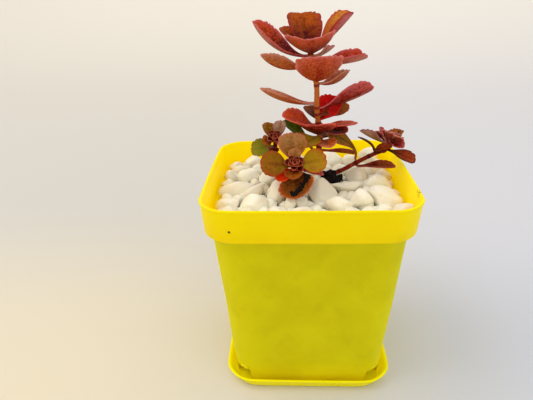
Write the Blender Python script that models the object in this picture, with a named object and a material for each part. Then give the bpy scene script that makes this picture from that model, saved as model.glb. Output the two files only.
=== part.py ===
"""A sedum growing in a square plastic pot that stands on its saucer.

The plant has four leafy stems rooted in dark soil under a layer of white pebbles.
All sizes in the tables below are millimetres. The origin is at the centre of the saucer's
underside, +Z is up, and -Y is the side that the plant's front shoot leans to.
"""
import bisect
import math
import random
from collections import namedtuple

import bmesh
import bpy
from mathutils import Vector, noise

MM = 0.001
GAP = 0.3            # clearance between pieces that touch
WELD = 1e-6          # metres; closes the seam of a rolled sheet

# Pot and saucer: half-widths across the flats, heights above the ground.
RIM_HALF = 50.0
RIM_TOP = 108.0
COLLAR_HALF = 48.4
COLLAR_BOTTOM = 91.2
BODY_TOP_HALF = 45.4
BODY_BOTTOM_HALF = 38.5
POT_CORNER = 14.5
POT_BASE_CORNER = 13.0
SIDE_BOW = 0.6       # how far the sides bulge at their middle
WALL = 1.2
SKIRT_HEIGHT = 10.0
NOTCH_HALF = 30.0    # the skirt's corners are cut away beyond this
DRAIN_RADIUS = 3.0
DRAIN_OFFSET = 20.0

SAUCER_RIM_HALF = 43.4
SAUCER_BASE_HALF = 40.4
SAUCER_CORNER = 15.4
SAUCER_HEIGHT = 7.0
SAUCER_FLOOR = 1.5
SAUCER_WALL = 1.0

POT_BOTTOM = SAUCER_FLOOR + GAP
FLOOR_UNDER = POT_BOTTOM + SKIRT_HEIGHT + 0.4
FLOOR_TOP = FLOOR_UNDER + WALL
LEDGE_TOP = COLLAR_BOTTOM + WALL

# Soil and pebbles.
SOIL_BOTTOM = FLOOR_TOP + GAP
SOIL_TOP = LEDGE_TOP
BED_BOTTOM = SOIL_TOP + GAP
BED_HALF = COLLAR_HALF - WALL - GAP - 0.3
BED_CORNER = POT_CORNER - WALL
BED_CELLS = 40
CLOD_CENTRE = (13.8, 13.6, 95.6)
CLOD_SIZE = (5.8, 4.6, 5.4)

# Leaves.
LEAF_THICKNESS = 1.3
PETIOLE_WIDTH = 1.7
LEAF_ROUND = 8       # points around a leaf
LEAF_LONG = 8        # steps along it
BUD_LENGTH = 4.0
BUD_WIDTH = 3.4

# The way each stem runs, from its root in the soil to its tip, and its thickness.
STEM_RADIUS = 1.35
STEMS = {
    "main_stem": (
        (5.0, 14.0, 82.0), (5.5, 14.0, 98.0), (6.7, 13.0, 119.0), (6.3, 12.6, 125.0),
        (4.9, 12.0, 137.0), (4.7, 11.6, 147.0), (3.1, 11.0, 156.0), (1.0, 10.5, 166.0)),
    "front_stem": (
        (-0.5, 6.0, 83.0), (-1.0, 5.0, 96.0), (-3.5, -2.0, 106.5), (-6.8, -9.0, 113.5)),
    "left_stem": (
        (-13.5, 10.0, 83.0), (-14.5, 10.0, 98.0), (-16.5, 8.0, 112.0), (-16.8, 6.0, 124.5)),
    "right_stem": (
        (8.5, 15.5, 83.0), (9.5, 14.5, 92.0), (12.5, 12.8, 99.0), (18.0, 11.5, 102.6),
        (24.7, 10.5, 106.3), (31.0, 9.0, 111.2), (36.0, 7.8, 115.2), (39.2, 7.0, 117.6),
        (40.4, 6.5, 120.4)),
}

# stem, along: where the leaf grows, as a share of the stem's length.
# azimuth, rise: where it points, in degrees (0 is +X, 90 is +Y); roll lifts one margin.
# peak: where the blade is widest; bend: how far it curls up along its length, in degrees.
# fold: a crease along the midrib; cup: how far the margins curl up.
Leaf = namedtuple("Leaf", "name stem along azimuth rise length width peak roll bend fold cup tone")
LEAVES = [Leaf(*row) for row in (
    ("crown_leaf_back", "main_stem", 0.99, 103, 52, 23.0, 18.5, 0.70, 0, 0, 0.10, 0.30, "bronze"),
    ("crown_leaf_front", "main_stem", 0.99, -92, 26, 17.0, 24.0, 0.60, 0, 26, 0.10, 0.75, "coral"),
    ("crown_leaf_left", "main_stem", 0.97, 184, 35, 30.5, 12.5, 0.66, -34, 36, 0.20, 0.35, "wine"),
    ("crown_leaf_small", "main_stem", 0.985, 142, 34, 20.0, 8.5, 0.70, -15, 0, 0.20, 0.20, "bronze"),
    ("crown_leaf_right", "main_stem", 0.98, 10, 42, 26.0, 12.5, 0.70, 35, 6, 0.75, 0.10, "coral"),
    ("upper_leaf_left", "main_stem", 0.93, 181, 1, 25.0, 12.0, 0.62, 48, 20, 0.20, 0.40, "bronze"),
    ("upper_leaf_front", "main_stem", 0.79, -91, 48, 17.5, 24.0, 0.48, 0, 30, 0.10, 0.62, "coral"),
    ("upper_leaf_right", "main_stem", 0.93, 12, 5, 25.5, 13.5, 0.72, 28, 20, 0.20, 0.40, "red"),
    ("upper_leaf_behind", "main_stem", 0.94, 46, 17, 16.0, 7.5, 0.62, -45, 16, 0.20, 0.35, "olive"),
    ("upper_leaf_low", "main_stem", 0.79, 26, 20, 20.0, 11.0, 0.62, -20, 34, 0.20, 0.45, "bronze"),
    ("middle_leaf_left", "main_stem", 0.66, 186, 22, 29.5, 11.5, 0.66, 12, -18, 0.25, 0.20, "bronze"),
    ("middle_leaf_right", "main_stem", 0.65, -4, 25, 29.0, 13.0, 0.70, -48, -4, 0.15, 0.25, "wine"),
    ("middle_leaf_back", "main_stem", 0.64, 62, 34, 17.0, 13.0, 0.62, -10, 20, 0.15, 0.20, "red"),
    ("middle_leaf_side", "main_stem", 0.605, 31, 6, 19.0, 12.0, 0.64, 10, 16, 0.15, 0.25, "olive"),
    ("middle_leaf_dark", "main_stem", 0.61, 117, 18, 11.5, 8.0, 0.62, 0, 16, 0.15, 0.25, "olive"),
    ("lower_leaf_left", "main_stem", 0.56, 192, 21, 19.5, 14.0, 0.62, -22, 6, 0.15, 0.25, "red"),
    ("lower_leaf_right", "main_stem", 0.55, -26, 11, 20.0, 9.0, 0.62, 20, 6, 0.20, 0.25, "coral"),
    ("lower_leaf_dark", "main_stem", 0.52, 8, 3, 13.0, 9.0, 0.62, 0, 14, 0.20, 0.25, "wine"),
    ("lower_leaf_small", "main_stem", 0.46, -125, 48, 12.0, 7.5, 0.60, 0, 10, 0.20, 0.30, "wine"),
    ("lower_leaf_back", "main_stem", 0.50, 98, 8, 15.0, 10.0, 0.62, 0, 14, 0.15, 0.25, "olive"),
    ("base_leaf_left", "main_stem", 0.43, 212, 15, 12.5, 12.0, 0.58, -10, 6, 0.15, 0.20, "olive"),
    ("base_leaf_front", "main_stem", 0.425, -49, 14, 11.0, 11.5, 0.60, 10, 8, 0.15, 0.25, "bronze"),
    ("base_leaf_right", "main_stem", 0.46, 20, -4, 15.5, 11.0, 0.60, 20, 4, 0.15, 0.20, "olive"),
    ("base_leaf_thin", "main_stem", 0.39, 9, -13, 19.5, 8.5, 0.62, -50, -6, 0.40, 0.25, "wine"),
    ("base_leaf_green", "main_stem", 0.40, 162, 28, 21.0, 8.0, 0.74, 20, -14, 0.25, 0.20, "green"),
    ("front_leaf_left", "front_stem", 0.99, 192, 8, 16.0, 13.0, 0.62, -62, 0, 0.08, 0.15, "olive"),
    ("front_leaf_top", "front_stem", 0.98, 101, 52, 16.5, 15.0, 0.62, 0, 6, 0.08, 0.20, "olive"),
    ("front_leaf_inner", "front_stem", 1.0, 92, 74, 8.0, 8.5, 0.62, 0, 10, 0.10, 0.25, "olive"),
    ("front_leaf_right", "front_stem", 0.99, -8, 14, 15.0, 12.5, 0.62, 58, 0, 0.08, 0.15, "olive"),
    ("front_leaf_bottom", "front_stem", 0.97, -85, -40, 17.5, 17.0, 0.62, 0, 4, 0.08, 0.25, "olive"),
    ("front_leaf_small", "front_stem", 1.0, -70, -8, 8.5, 8.0, 0.60, 0, 30, 0.15, 0.35, "bronze"),
    ("front_leaf_red", "front_stem", 0.93, -148, -16, 12.0, 8.0, 0.62, 0, 4, 0.10, 0.20, "red"),
    ("front_leaf_thin", "front_stem", 0.88, -4, -18, 12.5, 5.5, 0.62, 20, 6, 0.20, 0.20, "wine"),
    ("left_leaf_up", "left_stem", 0.98, 150, 50, 8.0, 8.5, 0.60, 0, 4, 0.10, 0.20, "olive"),
    ("left_leaf_pale", "left_stem", 0.98, 48, 54, 7.5, 8.0, 0.60, 0, 4, 0.10, 0.20, "olive"),
    ("left_leaf_front", "left_stem", 0.99, -130, 12, 8.5, 9.0, 0.60, 0, 10, 0.10, 0.25, "wine"),
    ("left_leaf_side", "left_stem", 0.97, -48, 4, 7.0, 6.5, 0.60, 0, 10, 0.10, 0.25, "wine"),
    ("left_leaf_green", "left_stem", 0.86, 186, -4, 12.5, 11.0, 0.60, -35, 0, 0.10, 0.20, "green"),
    ("left_leaf_small", "left_stem", 0.76, -132, 8, 6.0, 5.5, 0.60, 0, 10, 0.15, 0.25, "wine"),
    ("right_leaf_thin", "right_stem", 0.60, -1, -1, 22.0, 7.5, 0.66, 10, -8, 0.60, 0.10, "wine"),
    ("right_leaf_hooked", "right_stem", 0.64, 176, 64, 14.5, 7.0, 0.66, 30, -96, 0.40, 0.10, "olive"),
    ("right_leaf_narrow", "right_stem", 0.85, 180, 37, 11.0, 5.0, 0.62, 40, -10, 0.50, 0.10, "bronze"),
    ("right_leaf_red", "right_stem", 0.83, -50, 22, 10.0, 8.5, 0.66, 20, 4, 0.40, 0.20, "coral"),
    ("right_leaf_tip", "right_stem", 0.93, -12, -22, 16.5, 10.0, 0.70, 30, 8, 0.45, 0.20, "bronze"),
    ("right_leaf_pale", "right_stem", 0.985, 172, 22, 13.0, 8.0, 0.62, 30, 10, 0.25, 0.30, "olive"),
    ("right_leaf_front", "right_stem", 0.99, -40, 6, 9.5, 9.0, 0.60, 0, 26, 0.20, 0.45, "wine"),
    ("right_leaf_upright", "right_stem", 0.995, 150, 68, 8.5, 6.5, 0.62, 0, 6, 0.20, 0.30, "wine"),
    ("right_leaf_back", "right_stem", 0.985, 36, 12, 9.5, 7.5, 0.62, 0, 14, 0.20, 0.30, "bronze"),
    ("right_leaf_inner", "right_stem", 1.0, -50, 62, 5.0, 5.0, 0.60, 0, 10, 0.20, 0.40, "wine"),
)]

# The visible stones: centre, then length, width and height, and the way the length points.
STONES = (
    (-43.0, 18.0, 95.5, 9, 7, 8, 80), (-38.5, 28.0, 96.0, 10, 8, 8, 10),
    (-30.5, 38.5, 97.5, 11, 9, 9, 0), (-32.0, 18.5, 96.0, 13, 11, 9, 10),
    (-39.0, 3.5, 95.5, 17, 10, 9, 40), (-38.5, -19.5, 96.5, 12, 9, 8, 15),
    (-28.0, -3.5, 95.5, 18, 10, 9, 40), (-26.5, -20.0, 96.5, 14, 11, 10, 20),
    (-21.0, 17.0, 95.5, 10, 10, 9, 0), (-16.5, -4.0, 95.5, 16, 9, 10, 90),
    (-9.0, -20.5, 96.0, 8, 7, 8, 90), (-15.0, -28.5, 96.0, 9, 8, 7, 0),
    (-3.5, -18.0, 96.0, 8, 7, 7, 60), (3.5, 7.0, 94.8, 13, 9, 9, 65),
    (7.5, -4.5, 96.0, 17, 12, 10, 55), (20.5, 2.0, 96.5, 14, 9, 7, -20),
    (14.5, -23.5, 96.5, 13, 10, 10, 0), (26.0, -15.0, 96.5, 13, 11, 10, 20),
    (38.5, -15.5, 96.5, 15, 12, 11, 10), (38.0, 9.0, 96.5, 18, 13, 11, 20),
    (26.5, 17.0, 96.5, 13, 12, 10, 70), (38.0, 22.0, 96.5, 9, 7, 8, 80),
    (41.5, -31.0, 99.5, 10, 8, 6, 20), (40.5, 28.0, 98.0, 10, 9, 8, 0),
    (19.5, 38.5, 98.0, 10, 9, 9, 30), (12.0, 40.5, 98.0, 10, 8, 9, 80),
    (28.0, 41.0, 98.5, 9, 8, 8, 0), (27.5, 31.5, 97.5, 8, 7, 7, 20),
    (16.5, -10.5, 96.0, 6, 5, 5, 0), (22.0, -7.5, 96.0, 5, 5, 5, 0),
    (43.0, 33.0, 98.5, 8, 7, 7, 0), (36.0, 40.5, 99.0, 9, 8, 8, 0),
)
STONE_SPACING = 9.8
STONE_FLOOR = 94.0
SEED = 7

TONES = {
    "bronze": (0.36, 0.10, 0.015), "coral": (0.42, 0.07, 0.04), "wine": (0.14, 0.015, 0.015),
    "red": (0.55, 0.03, 0.01), "olive": (0.22, 0.17, 0.02), "green": (0.10, 0.17, 0.01),
}
YELLOW = (0.85, 0.66, 0.0)
SOIL_BROWN = (0.02, 0.012, 0.009)
PEBBLE_WHITE = (0.90, 0.87, 0.72)
STEM_BROWN = (0.30, 0.07, 0.015)


def clear_scene():
    for thing in list(bpy.data.objects):
        bpy.data.objects.remove(thing, do_unlink=True)


def plain_material(name, colour, roughness):
    material = bpy.data.materials.new(name)
    material.use_nodes = True
    shader = material.node_tree.nodes["Principled BSDF"]
    shader.inputs["Base Color"].default_value = (*colour, 1.0)
    shader.inputs["Roughness"].default_value = roughness
    shader.inputs["Metallic"].default_value = 0.0
    return material


def add_object(name, mesh, colour, roughness, sharp_angle=40):
    mesh.materials.append(plain_material(name, colour, roughness))
    mesh.shade_smooth()
    mesh.set_sharp_from_angle(angle=math.radians(sharp_angle))
    piece = bpy.data.objects.new(name, mesh)
    bpy.context.collection.objects.link(piece)
    return piece


def rolled_sheet(name, columns, rows, place):
    """A closed mesh: a grid rolled into a tube, with its first and last rows drawn together."""
    mesh = bpy.data.meshes.new(name)
    sheet = bmesh.new()
    bmesh.ops.create_grid(sheet, x_segments=columns, y_segments=rows, size=1.0)
    for vertex in sheet.verts:
        column = round((vertex.co.x + 1) / 2 * columns) % columns
        row = round((vertex.co.y + 1) / 2 * rows)
        vertex.co = place(column, row) * MM
    bmesh.ops.remove_doubles(sheet, verts=sheet.verts, dist=WELD)
    bmesh.ops.recalc_face_normals(sheet, faces=sheet.faces)
    sheet.to_mesh(mesh)
    sheet.free()
    return mesh


def subtract(piece, cutter):
    """Leave the cutter as a hidden guide and cut its shape out of the piece."""
    cutter.hide_render = True
    cutter.display_type = "WIRE"
    cut = piece.modifiers.new("cut by " + cutter.name, "BOOLEAN")
    cut.operation = "DIFFERENCE"
    cut.object = cutter


# ---- square outlines -------------------------------------------------------------------

def outline_angles(flat_steps, corner_steps):
    """Directions to the points of a rounded square, closest together at its corners."""
    start = math.atan2(RIM_HALF - POT_CORNER, RIM_HALF)
    sweep = math.pi / 2 - 2 * start
    quarter = [start + sweep * step / corner_steps for step in range(corner_steps)]
    quarter += [start + sweep + 2 * start * step / flat_steps for step in range(flat_steps)]
    return [angle + math.pi / 2 * side for side in range(4) for angle in quarter]


def outline_point(angle, half, corner, height, bow=0.0):
    """The point of a rounded square with bowed sides that lies in the given direction."""
    if half == 0:
        return Vector((0, 0, height))
    folded = abs((angle + math.pi / 4) % (math.pi / 2) - math.pi / 4)
    centre = half - corner
    if half * math.tan(folded) <= centre:
        reach = half / math.cos(folded)
    else:
        across = centre * (math.cos(folded) - math.sin(folded))
        reach = centre * (math.cos(folded) + math.sin(folded)) + math.sqrt(corner ** 2 - across ** 2)
    reach *= 1 + bow / half * (1 - math.tan(folded) ** 2)
    return Vector((reach * math.cos(angle), reach * math.sin(angle), height))


def square_turning(name, profile, flat_steps=4, corner_steps=6):
    """A closed solid whose sections are rounded squares: profile rows hold half, corner, height."""
    angles = outline_angles(flat_steps, corner_steps)

    def place(column, row):
        half, corner, height, bow = profile[row]
        return outline_point(angles[column], half, corner, height, bow)

    return rolled_sheet(name, len(angles), len(profile) - 1, place)


def body_half(height):
    """Half-width of the pot's outer wall below the collar."""
    share = (height - POT_BOTTOM) / (COLLAR_BOTTOM - POT_BOTTOM)
    return BODY_BOTTOM_HALF + (BODY_TOP_HALF - BODY_BOTTOM_HALF) * share


# ---- pot, saucer, soil -----------------------------------------------------------------

def make_pot():
    base = POT_BASE_CORNER
    top = POT_CORNER
    profile = [
        (0, 0, FLOOR_UNDER, 0),
        (body_half(FLOOR_UNDER) - WALL, base - WALL, FLOOR_UNDER, 0),
        (BODY_BOTTOM_HALF - WALL, base - WALL, POT_BOTTOM, 0),
        (BODY_BOTTOM_HALF, base, POT_BOTTOM, 0),
        (BODY_TOP_HALF, top - 1, COLLAR_BOTTOM, SIDE_BOW),
        (COLLAR_HALF, top, COLLAR_BOTTOM, SIDE_BOW),
        (RIM_HALF - 0.4, top, RIM_TOP - 1.6, SIDE_BOW),
        (RIM_HALF, top, RIM_TOP - 0.9, SIDE_BOW),
        (RIM_HALF, top, RIM_TOP, SIDE_BOW),
        (RIM_HALF - WALL, top - WALL, RIM_TOP, SIDE_BOW),
        (COLLAR_HALF - WALL, top - WALL, LEDGE_TOP, SIDE_BOW),
        (BODY_TOP_HALF - WALL, top - 1 - WALL, LEDGE_TOP, SIDE_BOW),
        (body_half(FLOOR_TOP) - WALL, base - WALL, FLOOR_TOP, 0),
        (0, 0, FLOOR_TOP, 0),
    ]
    pot = add_object("pot", square_turning("pot", profile), YELLOW, 0.4)

    reach = BODY_TOP_HALF - NOTCH_HALF
    middle = NOTCH_HALF + reach / 2
    for east in (-1, 1):
        for north in (-1, 1):
            subtract(pot, notch_cutter(east * middle, north * middle, reach))
            subtract(pot, drain_cutter(east * DRAIN_OFFSET, north * DRAIN_OFFSET))
    subtract(pot, drain_cutter(0, 0))


def add_cutter(name, mesh):
    cutter = bpy.data.objects.new(name, mesh)
    bpy.context.collection.objects.link(cutter)
    return cutter


def notch_cutter(x, y, reach):
    mesh = bpy.data.meshes.new("skirt_notch_guide")
    block = bmesh.new()
    bmesh.ops.create_cube(block, size=1.0)
    bmesh.ops.scale(block, vec=Vector((reach, reach, 2 * SKIRT_HEIGHT)) * MM, verts=block.verts)
    bmesh.ops.translate(block, vec=Vector((x, y, POT_BOTTOM)) * MM, verts=block.verts)
    block.to_mesh(mesh)
    block.free()
    return add_cutter("skirt_notch_guide", mesh)


def drain_cutter(x, y):
    mesh = bpy.data.meshes.new("drain_guide")
    rod = bmesh.new()
    bmesh.ops.create_cone(
        rod, cap_ends=True, segments=12, radius1=DRAIN_RADIUS * MM, radius2=DRAIN_RADIUS * MM,
        depth=6 * WALL * MM)
    bmesh.ops.translate(rod, vec=Vector((x, y, FLOOR_UNDER)) * MM, verts=rod.verts)
    rod.to_mesh(mesh)
    rod.free()
    return add_cutter("drain_guide", mesh)


def make_saucer():
    corner = SAUCER_CORNER
    lip = SAUCER_HEIGHT - 0.8
    shoulder = SAUCER_HEIGHT - 1.4
    shoulder_half = SAUCER_RIM_HALF - 1.1
    profile = [
        (0, 0, 0, 0),
        (SAUCER_BASE_HALF - 0.6, corner - 1, 0, 0),
        (SAUCER_BASE_HALF, corner - 0.6, 0.5, 0),
        (shoulder_half, corner - 0.2, shoulder, 0.3),
        (SAUCER_RIM_HALF, corner, lip, 0.3),
        (SAUCER_RIM_HALF, corner, SAUCER_HEIGHT, 0.3),
        (shoulder_half, corner - 1, SAUCER_HEIGHT - 0.1, 0.3),
        (shoulder_half - SAUCER_WALL, corner - 1.4, shoulder, 0.3),
        (SAUCER_BASE_HALF - 0.7, corner - 1.8, SAUCER_FLOOR, 0),
        (0, 0, SAUCER_FLOOR, 0),
    ]
    add_object("saucer", square_turning("saucer", profile), YELLOW, 0.35)


def make_soil():
    top = POT_CORNER - 1 - WALL - GAP
    bottom = POT_BASE_CORNER - WALL - GAP
    profile = [
        (0, 0, SOIL_BOTTOM, 0),
        (body_half(SOIL_BOTTOM) - WALL - GAP, bottom, SOIL_BOTTOM, 0),
        (BODY_TOP_HALF - WALL - GAP, top, SOIL_TOP, SIDE_BOW),
        (0, 0, SOIL_TOP, 0),
    ]
    soil = add_object("soil", square_turning("soil", profile), SOIL_BROWN, 0.95)
    clod = add_cutter("clod_guide", clod_mesh(0.0))
    clod.hide_render = True
    clod.display_type = "WIRE"
    join = soil.modifiers.new("clod around the right stem", "BOOLEAN")
    join.operation = "UNION"
    join.object = clod
    return soil


def clod_mesh(clearance):
    """A lump of soil, or the hollow that it needs among the pebbles."""
    mesh = bpy.data.meshes.new("clod")
    lump = bmesh.new()
    bmesh.ops.create_icosphere(lump, subdivisions=2, radius=1.0)
    for vertex in lump.verts:
        swell = 1 + 0.18 * noise.noise(vertex.co * 1.7)
        size = Vector([radius * swell + clearance for radius in CLOD_SIZE])
        vertex.co = (Vector(CLOD_CENTRE) + vertex.co * size) * MM
    lump.to_mesh(mesh)
    lump.free()
    return mesh


# ---- pebbles ---------------------------------------------------------------------------

def stone_layout(stems):
    """The visible stones, then smaller ones in the places that they leave free."""
    stones = list(STONES)
    taken = [(stone[0], stone[1], stone[3]) for stone in STONES]
    taken.append((CLOD_CENTRE[0], CLOD_CENTRE[1], 2 * CLOD_SIZE[0]))
    taken += [(path.at(0.2).x, path.at(0.2).y, 2 * STEM_RADIUS) for path in stems.values()]
    dice = random.Random(SEED)
    count = int(2 * BED_HALF / STONE_SPACING) + 1
    for row in range(count):
        for column in range(count):
            x = -BED_HALF + STONE_SPACING * (column + 0.25 + 0.5 * (row % 2) + dice.uniform(-0.1, 0.1))
            y = -BED_HALF + STONE_SPACING * (row + 0.5 + dice.uniform(-0.1, 0.1))
            length = dice.uniform(9, 12)
            free = all(math.hypot(x - spot[0], y - spot[1]) > 0.37 * (length + spot[2]) for spot in taken)
            if free and max(abs(x), abs(y)) < BED_HALF - 3:
                stones.append((x, y, dice.uniform(95.5, 97), length, length * 0.8, length * 0.75,
                               dice.uniform(0, 180)))
    return stones


def bed_height(x, y, stones):
    """Height of the pebble layer: the top of the highest stone over this place."""
    top = STONE_FLOOR
    for stone_x, stone_y, stone_z, length, width, height, turn in stones:
        turn = math.radians(turn)
        along = ((x - stone_x) * math.cos(turn) + (y - stone_y) * math.sin(turn)) / (length / 2)
        across = ((y - stone_y) * math.cos(turn) - (x - stone_x) * math.sin(turn)) / (width / 2)
        reach = along ** 2 + across ** 2
        if reach < 1:
            top = max(top, stone_z + height / 2 * math.sqrt(1 - reach))
    return top


def make_pebble_bed(stems):
    stones = stone_layout(stems)
    mesh = bpy.data.meshes.new("pebble_bed")
    bed = bmesh.new()
    bmesh.ops.create_grid(bed, x_segments=BED_CELLS, y_segments=BED_CELLS, size=1.0)
    for vertex in bed.verts:
        angle = math.atan2(vertex.co.y, vertex.co.x)
        edge = outline_point(angle, BED_HALF, BED_CORNER, 0, SIDE_BOW)
        spread = max(abs(vertex.co.x), abs(vertex.co.y))
        vertex.co = edge * spread * MM + Vector((0, 0, BED_BOTTOM * MM))
    floor = bed.faces[:]
    raised = bmesh.ops.extrude_face_region(bed, geom=floor)
    for vertex in (item for item in raised["geom"] if isinstance(item, bmesh.types.BMVert)):
        vertex.co.z = bed_height(vertex.co.x / MM, vertex.co.y / MM, stones) * MM
    flat = [face for face in bed.faces if all(v.co.z < (BED_BOTTOM + 0.1) * MM for v in face.verts)]
    bmesh.ops.dissolve_faces(bed, faces=flat, use_verts=True)
    bmesh.ops.recalc_face_normals(bed, faces=bed.faces)
    bed.to_mesh(mesh)
    bed.free()
    layer = add_object("pebble_bed", mesh, PEBBLE_WHITE, 0.6)
    subtract(layer, add_cutter("clod_hollow_guide", clod_mesh(GAP)))
    for name, path in stems.items():
        subtract(layer, add_cutter(name + "_bed_guide", stem_mesh(path, GAP)))


# ---- stems -----------------------------------------------------------------------------

class Path:
    """A smooth line through a few points, read by the share of its length."""

    def __init__(self, points, steps=8):
        knots = [Vector(point) for point in points]
        knots = [2 * knots[0] - knots[1], *knots, 2 * knots[-1] - knots[-2]]
        self.line = []
        for index in range(1, len(knots) - 2):
            before, start, end, after = knots[index - 1:index + 3]
            for step in range(steps):
                share = step / steps
                self.line.append(0.5 * (
                    2 * start + (end - before) * share
                    + (2 * before - 5 * start + 4 * end - after) * share ** 2
                    + (3 * start - 3 * end + after - before) * share ** 3))
        self.line.append(knots[-2])
        self.marks = [0.0]
        for start, end in zip(self.line, self.line[1:]):
            self.marks.append(self.marks[-1] + (end - start).length)

    def at(self, share):
        reach = share * self.marks[-1]
        index = min(max(bisect.bisect_left(self.marks, reach), 1), len(self.line) - 1)
        part = (reach - self.marks[index - 1]) / (self.marks[index] - self.marks[index - 1])
        return self.line[index - 1].lerp(self.line[index], part)

    def direction(self, share):
        return (self.at(min(share + 0.01, 1)) - self.at(max(share - 0.01, 0))).normalized()


def stem_radius(share):
    """Stems taper a little towards their tips."""
    return STEM_RADIUS * (1.05 - 0.2 * share)


def stem_mesh(path, clearance, sides=8, rows=22):
    """A round stem with a blunt tip, or the hollow that it needs in what surrounds it."""
    def place(column, row):
        share = min(max((row - 1) / (rows - 2), 0), 1)
        width = 0 if row in (0, rows) else stem_radius(share) + clearance
        forward = path.direction(share)
        side = forward.cross(Vector((0, 1, 0))).normalized()
        front = side.cross(forward)
        angle = 2 * math.pi * column / sides
        return path.at(share) + (side * math.cos(angle) + front * math.sin(angle)) * width

    return rolled_sheet("stem", sides, rows, place)


def make_stems(paths, soil):
    for name, path in paths.items():
        add_object(name, stem_mesh(path, 0.0), STEM_BROWN, 0.5)
        subtract(soil, add_cutter(name + "_soil_guide", stem_mesh(path, GAP)))


# ---- leaves ----------------------------------------------------------------------------

def blade_half_width(leaf, share):
    """Half-width of the blade: a narrow stalk that opens into a rounded spoon."""
    if share < leaf.peak:
        swell = math.sin(math.pi / 2 * share / leaf.peak) ** 1.5
    else:
        swell = math.sqrt(max(0, 1 - ((share - leaf.peak) / (1 - leaf.peak)) ** 2.4))
    blade = swell * leaf.width / 2
    stalk = PETIOLE_WIDTH / 2 * min(1, 6 * (1 - share))
    return math.hypot(blade, stalk)


class LeafShape:
    """The bent, rolled and folded sheet that a leaf follows."""

    def __init__(self, leaf, path):
        self.leaf = leaf
        azimuth = math.radians(leaf.azimuth)
        ahead = Vector((math.cos(azimuth), math.sin(azimuth), 0))
        side = Vector((-math.sin(azimuth), math.cos(azimuth), 0))
        up = Vector((0, 0, 1))
        self.frames = []
        steps = 24
        here = Vector((0, 0, 0))
        for step in range(steps + 1):
            rise = math.radians(leaf.rise + leaf.bend * (step / steps - 0.5))
            forward = ahead * math.cos(rise) + up * math.sin(rise)
            normal = up * math.cos(rise) - ahead * math.sin(rise)
            roll = math.radians(leaf.roll) * min(1, 3 * step / steps)
            across = side * math.cos(roll) + normal * math.sin(roll)
            self.frames.append((here.copy(), across, forward.cross(across)))
            here += forward * leaf.length / steps
        start = (self.frames[1][0] - self.frames[0][0]).normalized()
        stem = path.direction(leaf.along)
        outward = (start - stem * start.dot(stem)).normalized()
        gap = stem_radius(leaf.along) + GAP + 0.4 * LEAF_THICKNESS * abs(start.dot(stem))
        self.root = path.at(leaf.along) + outward * gap

    def point(self, share, around):
        """A point of the skin: around 0 and pi are the margins, between them the upper face."""
        reach = share * (len(self.frames) - 1)
        index = min(int(reach), len(self.frames) - 2)
        part = reach - index
        spine, across, normal = (
            first.lerp(second, part) for first, second in zip(self.frames[index], self.frames[index + 1]))
        width = blade_half_width(self.leaf, share)
        slant = math.hypot(1, self.leaf.fold)
        offset = math.cos(around) * width / slant
        crease = self.leaf.fold * (math.hypot(offset, 1.2) - 1.2)
        curl = self.leaf.cup * offset ** 2 / (self.leaf.width / 2)
        thick = LEAF_THICKNESS / 2 * (1 - 0.35 * share) * math.sin(around)
        return self.root + spine + across * offset + normal * (crease + curl + thick)


def leaf_mesh(shape, around=LEAF_ROUND, along=LEAF_LONG):
    def place(column, row):
        share = (row / along + 0.5 - 0.5 * math.cos(math.pi * row / along)) / 2
        if row in (0, along):
            return shape.point(share, math.pi / 2).lerp(shape.point(share, -math.pi / 2), 0.5)
        return shape.point(share, 2 * math.pi * column / around)

    return rolled_sheet("leaf", around, along, place)


def make_leaves(paths):
    for leaf in LEAVES:
        shape = LeafShape(leaf, paths[leaf.stem])
        add_object(leaf.name, leaf_mesh(shape), TONES[leaf.tone], 0.5)


def make_front_bud(path, around=10, rows=7):
    """The closed young leaves at the front shoot's tip, as one ribbed bud."""
    forward = path.direction(1)
    side = forward.cross(Vector((0, 0, 1))).normalized()
    up = side.cross(forward)

    def place(column, row):
        share = row / rows
        angle = 2 * math.pi * column / around
        rib = 1 + 0.12 * math.cos(angle * around / 2)
        width = BUD_WIDTH / 2 * math.sin(math.pi * share) ** 0.7 * rib if 0 < row < rows else 0
        rise = forward * (GAP + BUD_LENGTH * share)
        return path.at(1) + rise + (side * math.cos(angle) + up * math.sin(angle)) * width

    add_object("front_bud", rolled_sheet("front_bud", around, rows, place), TONES["wine"], 0.5)


# ---- assembly --------------------------------------------------------------------------

clear_scene()
stem_paths = {name: Path(points) for name, points in STEMS.items()}
make_saucer()
make_pot()
soil_block = make_soil()
make_stems(stem_paths, soil_block)
make_pebble_bed(stem_paths)
make_leaves(stem_paths)
make_front_bud(stem_paths["front_stem"])
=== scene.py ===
"""The looks of a potted sedum: a yellow pot on its saucer, white pebbles and four leafy red shoots.

Sizes are millimetres unless a name says otherwise. +Z is up, and -Y is the side that the plant's
front shoot leans to. Each section dresses one piece, in the order in which the pot is planted.
"""

import bisect
import math
import random
from collections import namedtuple

import bmesh
import bpy
from mathutils import Euler, Matrix, Vector, noise


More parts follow.
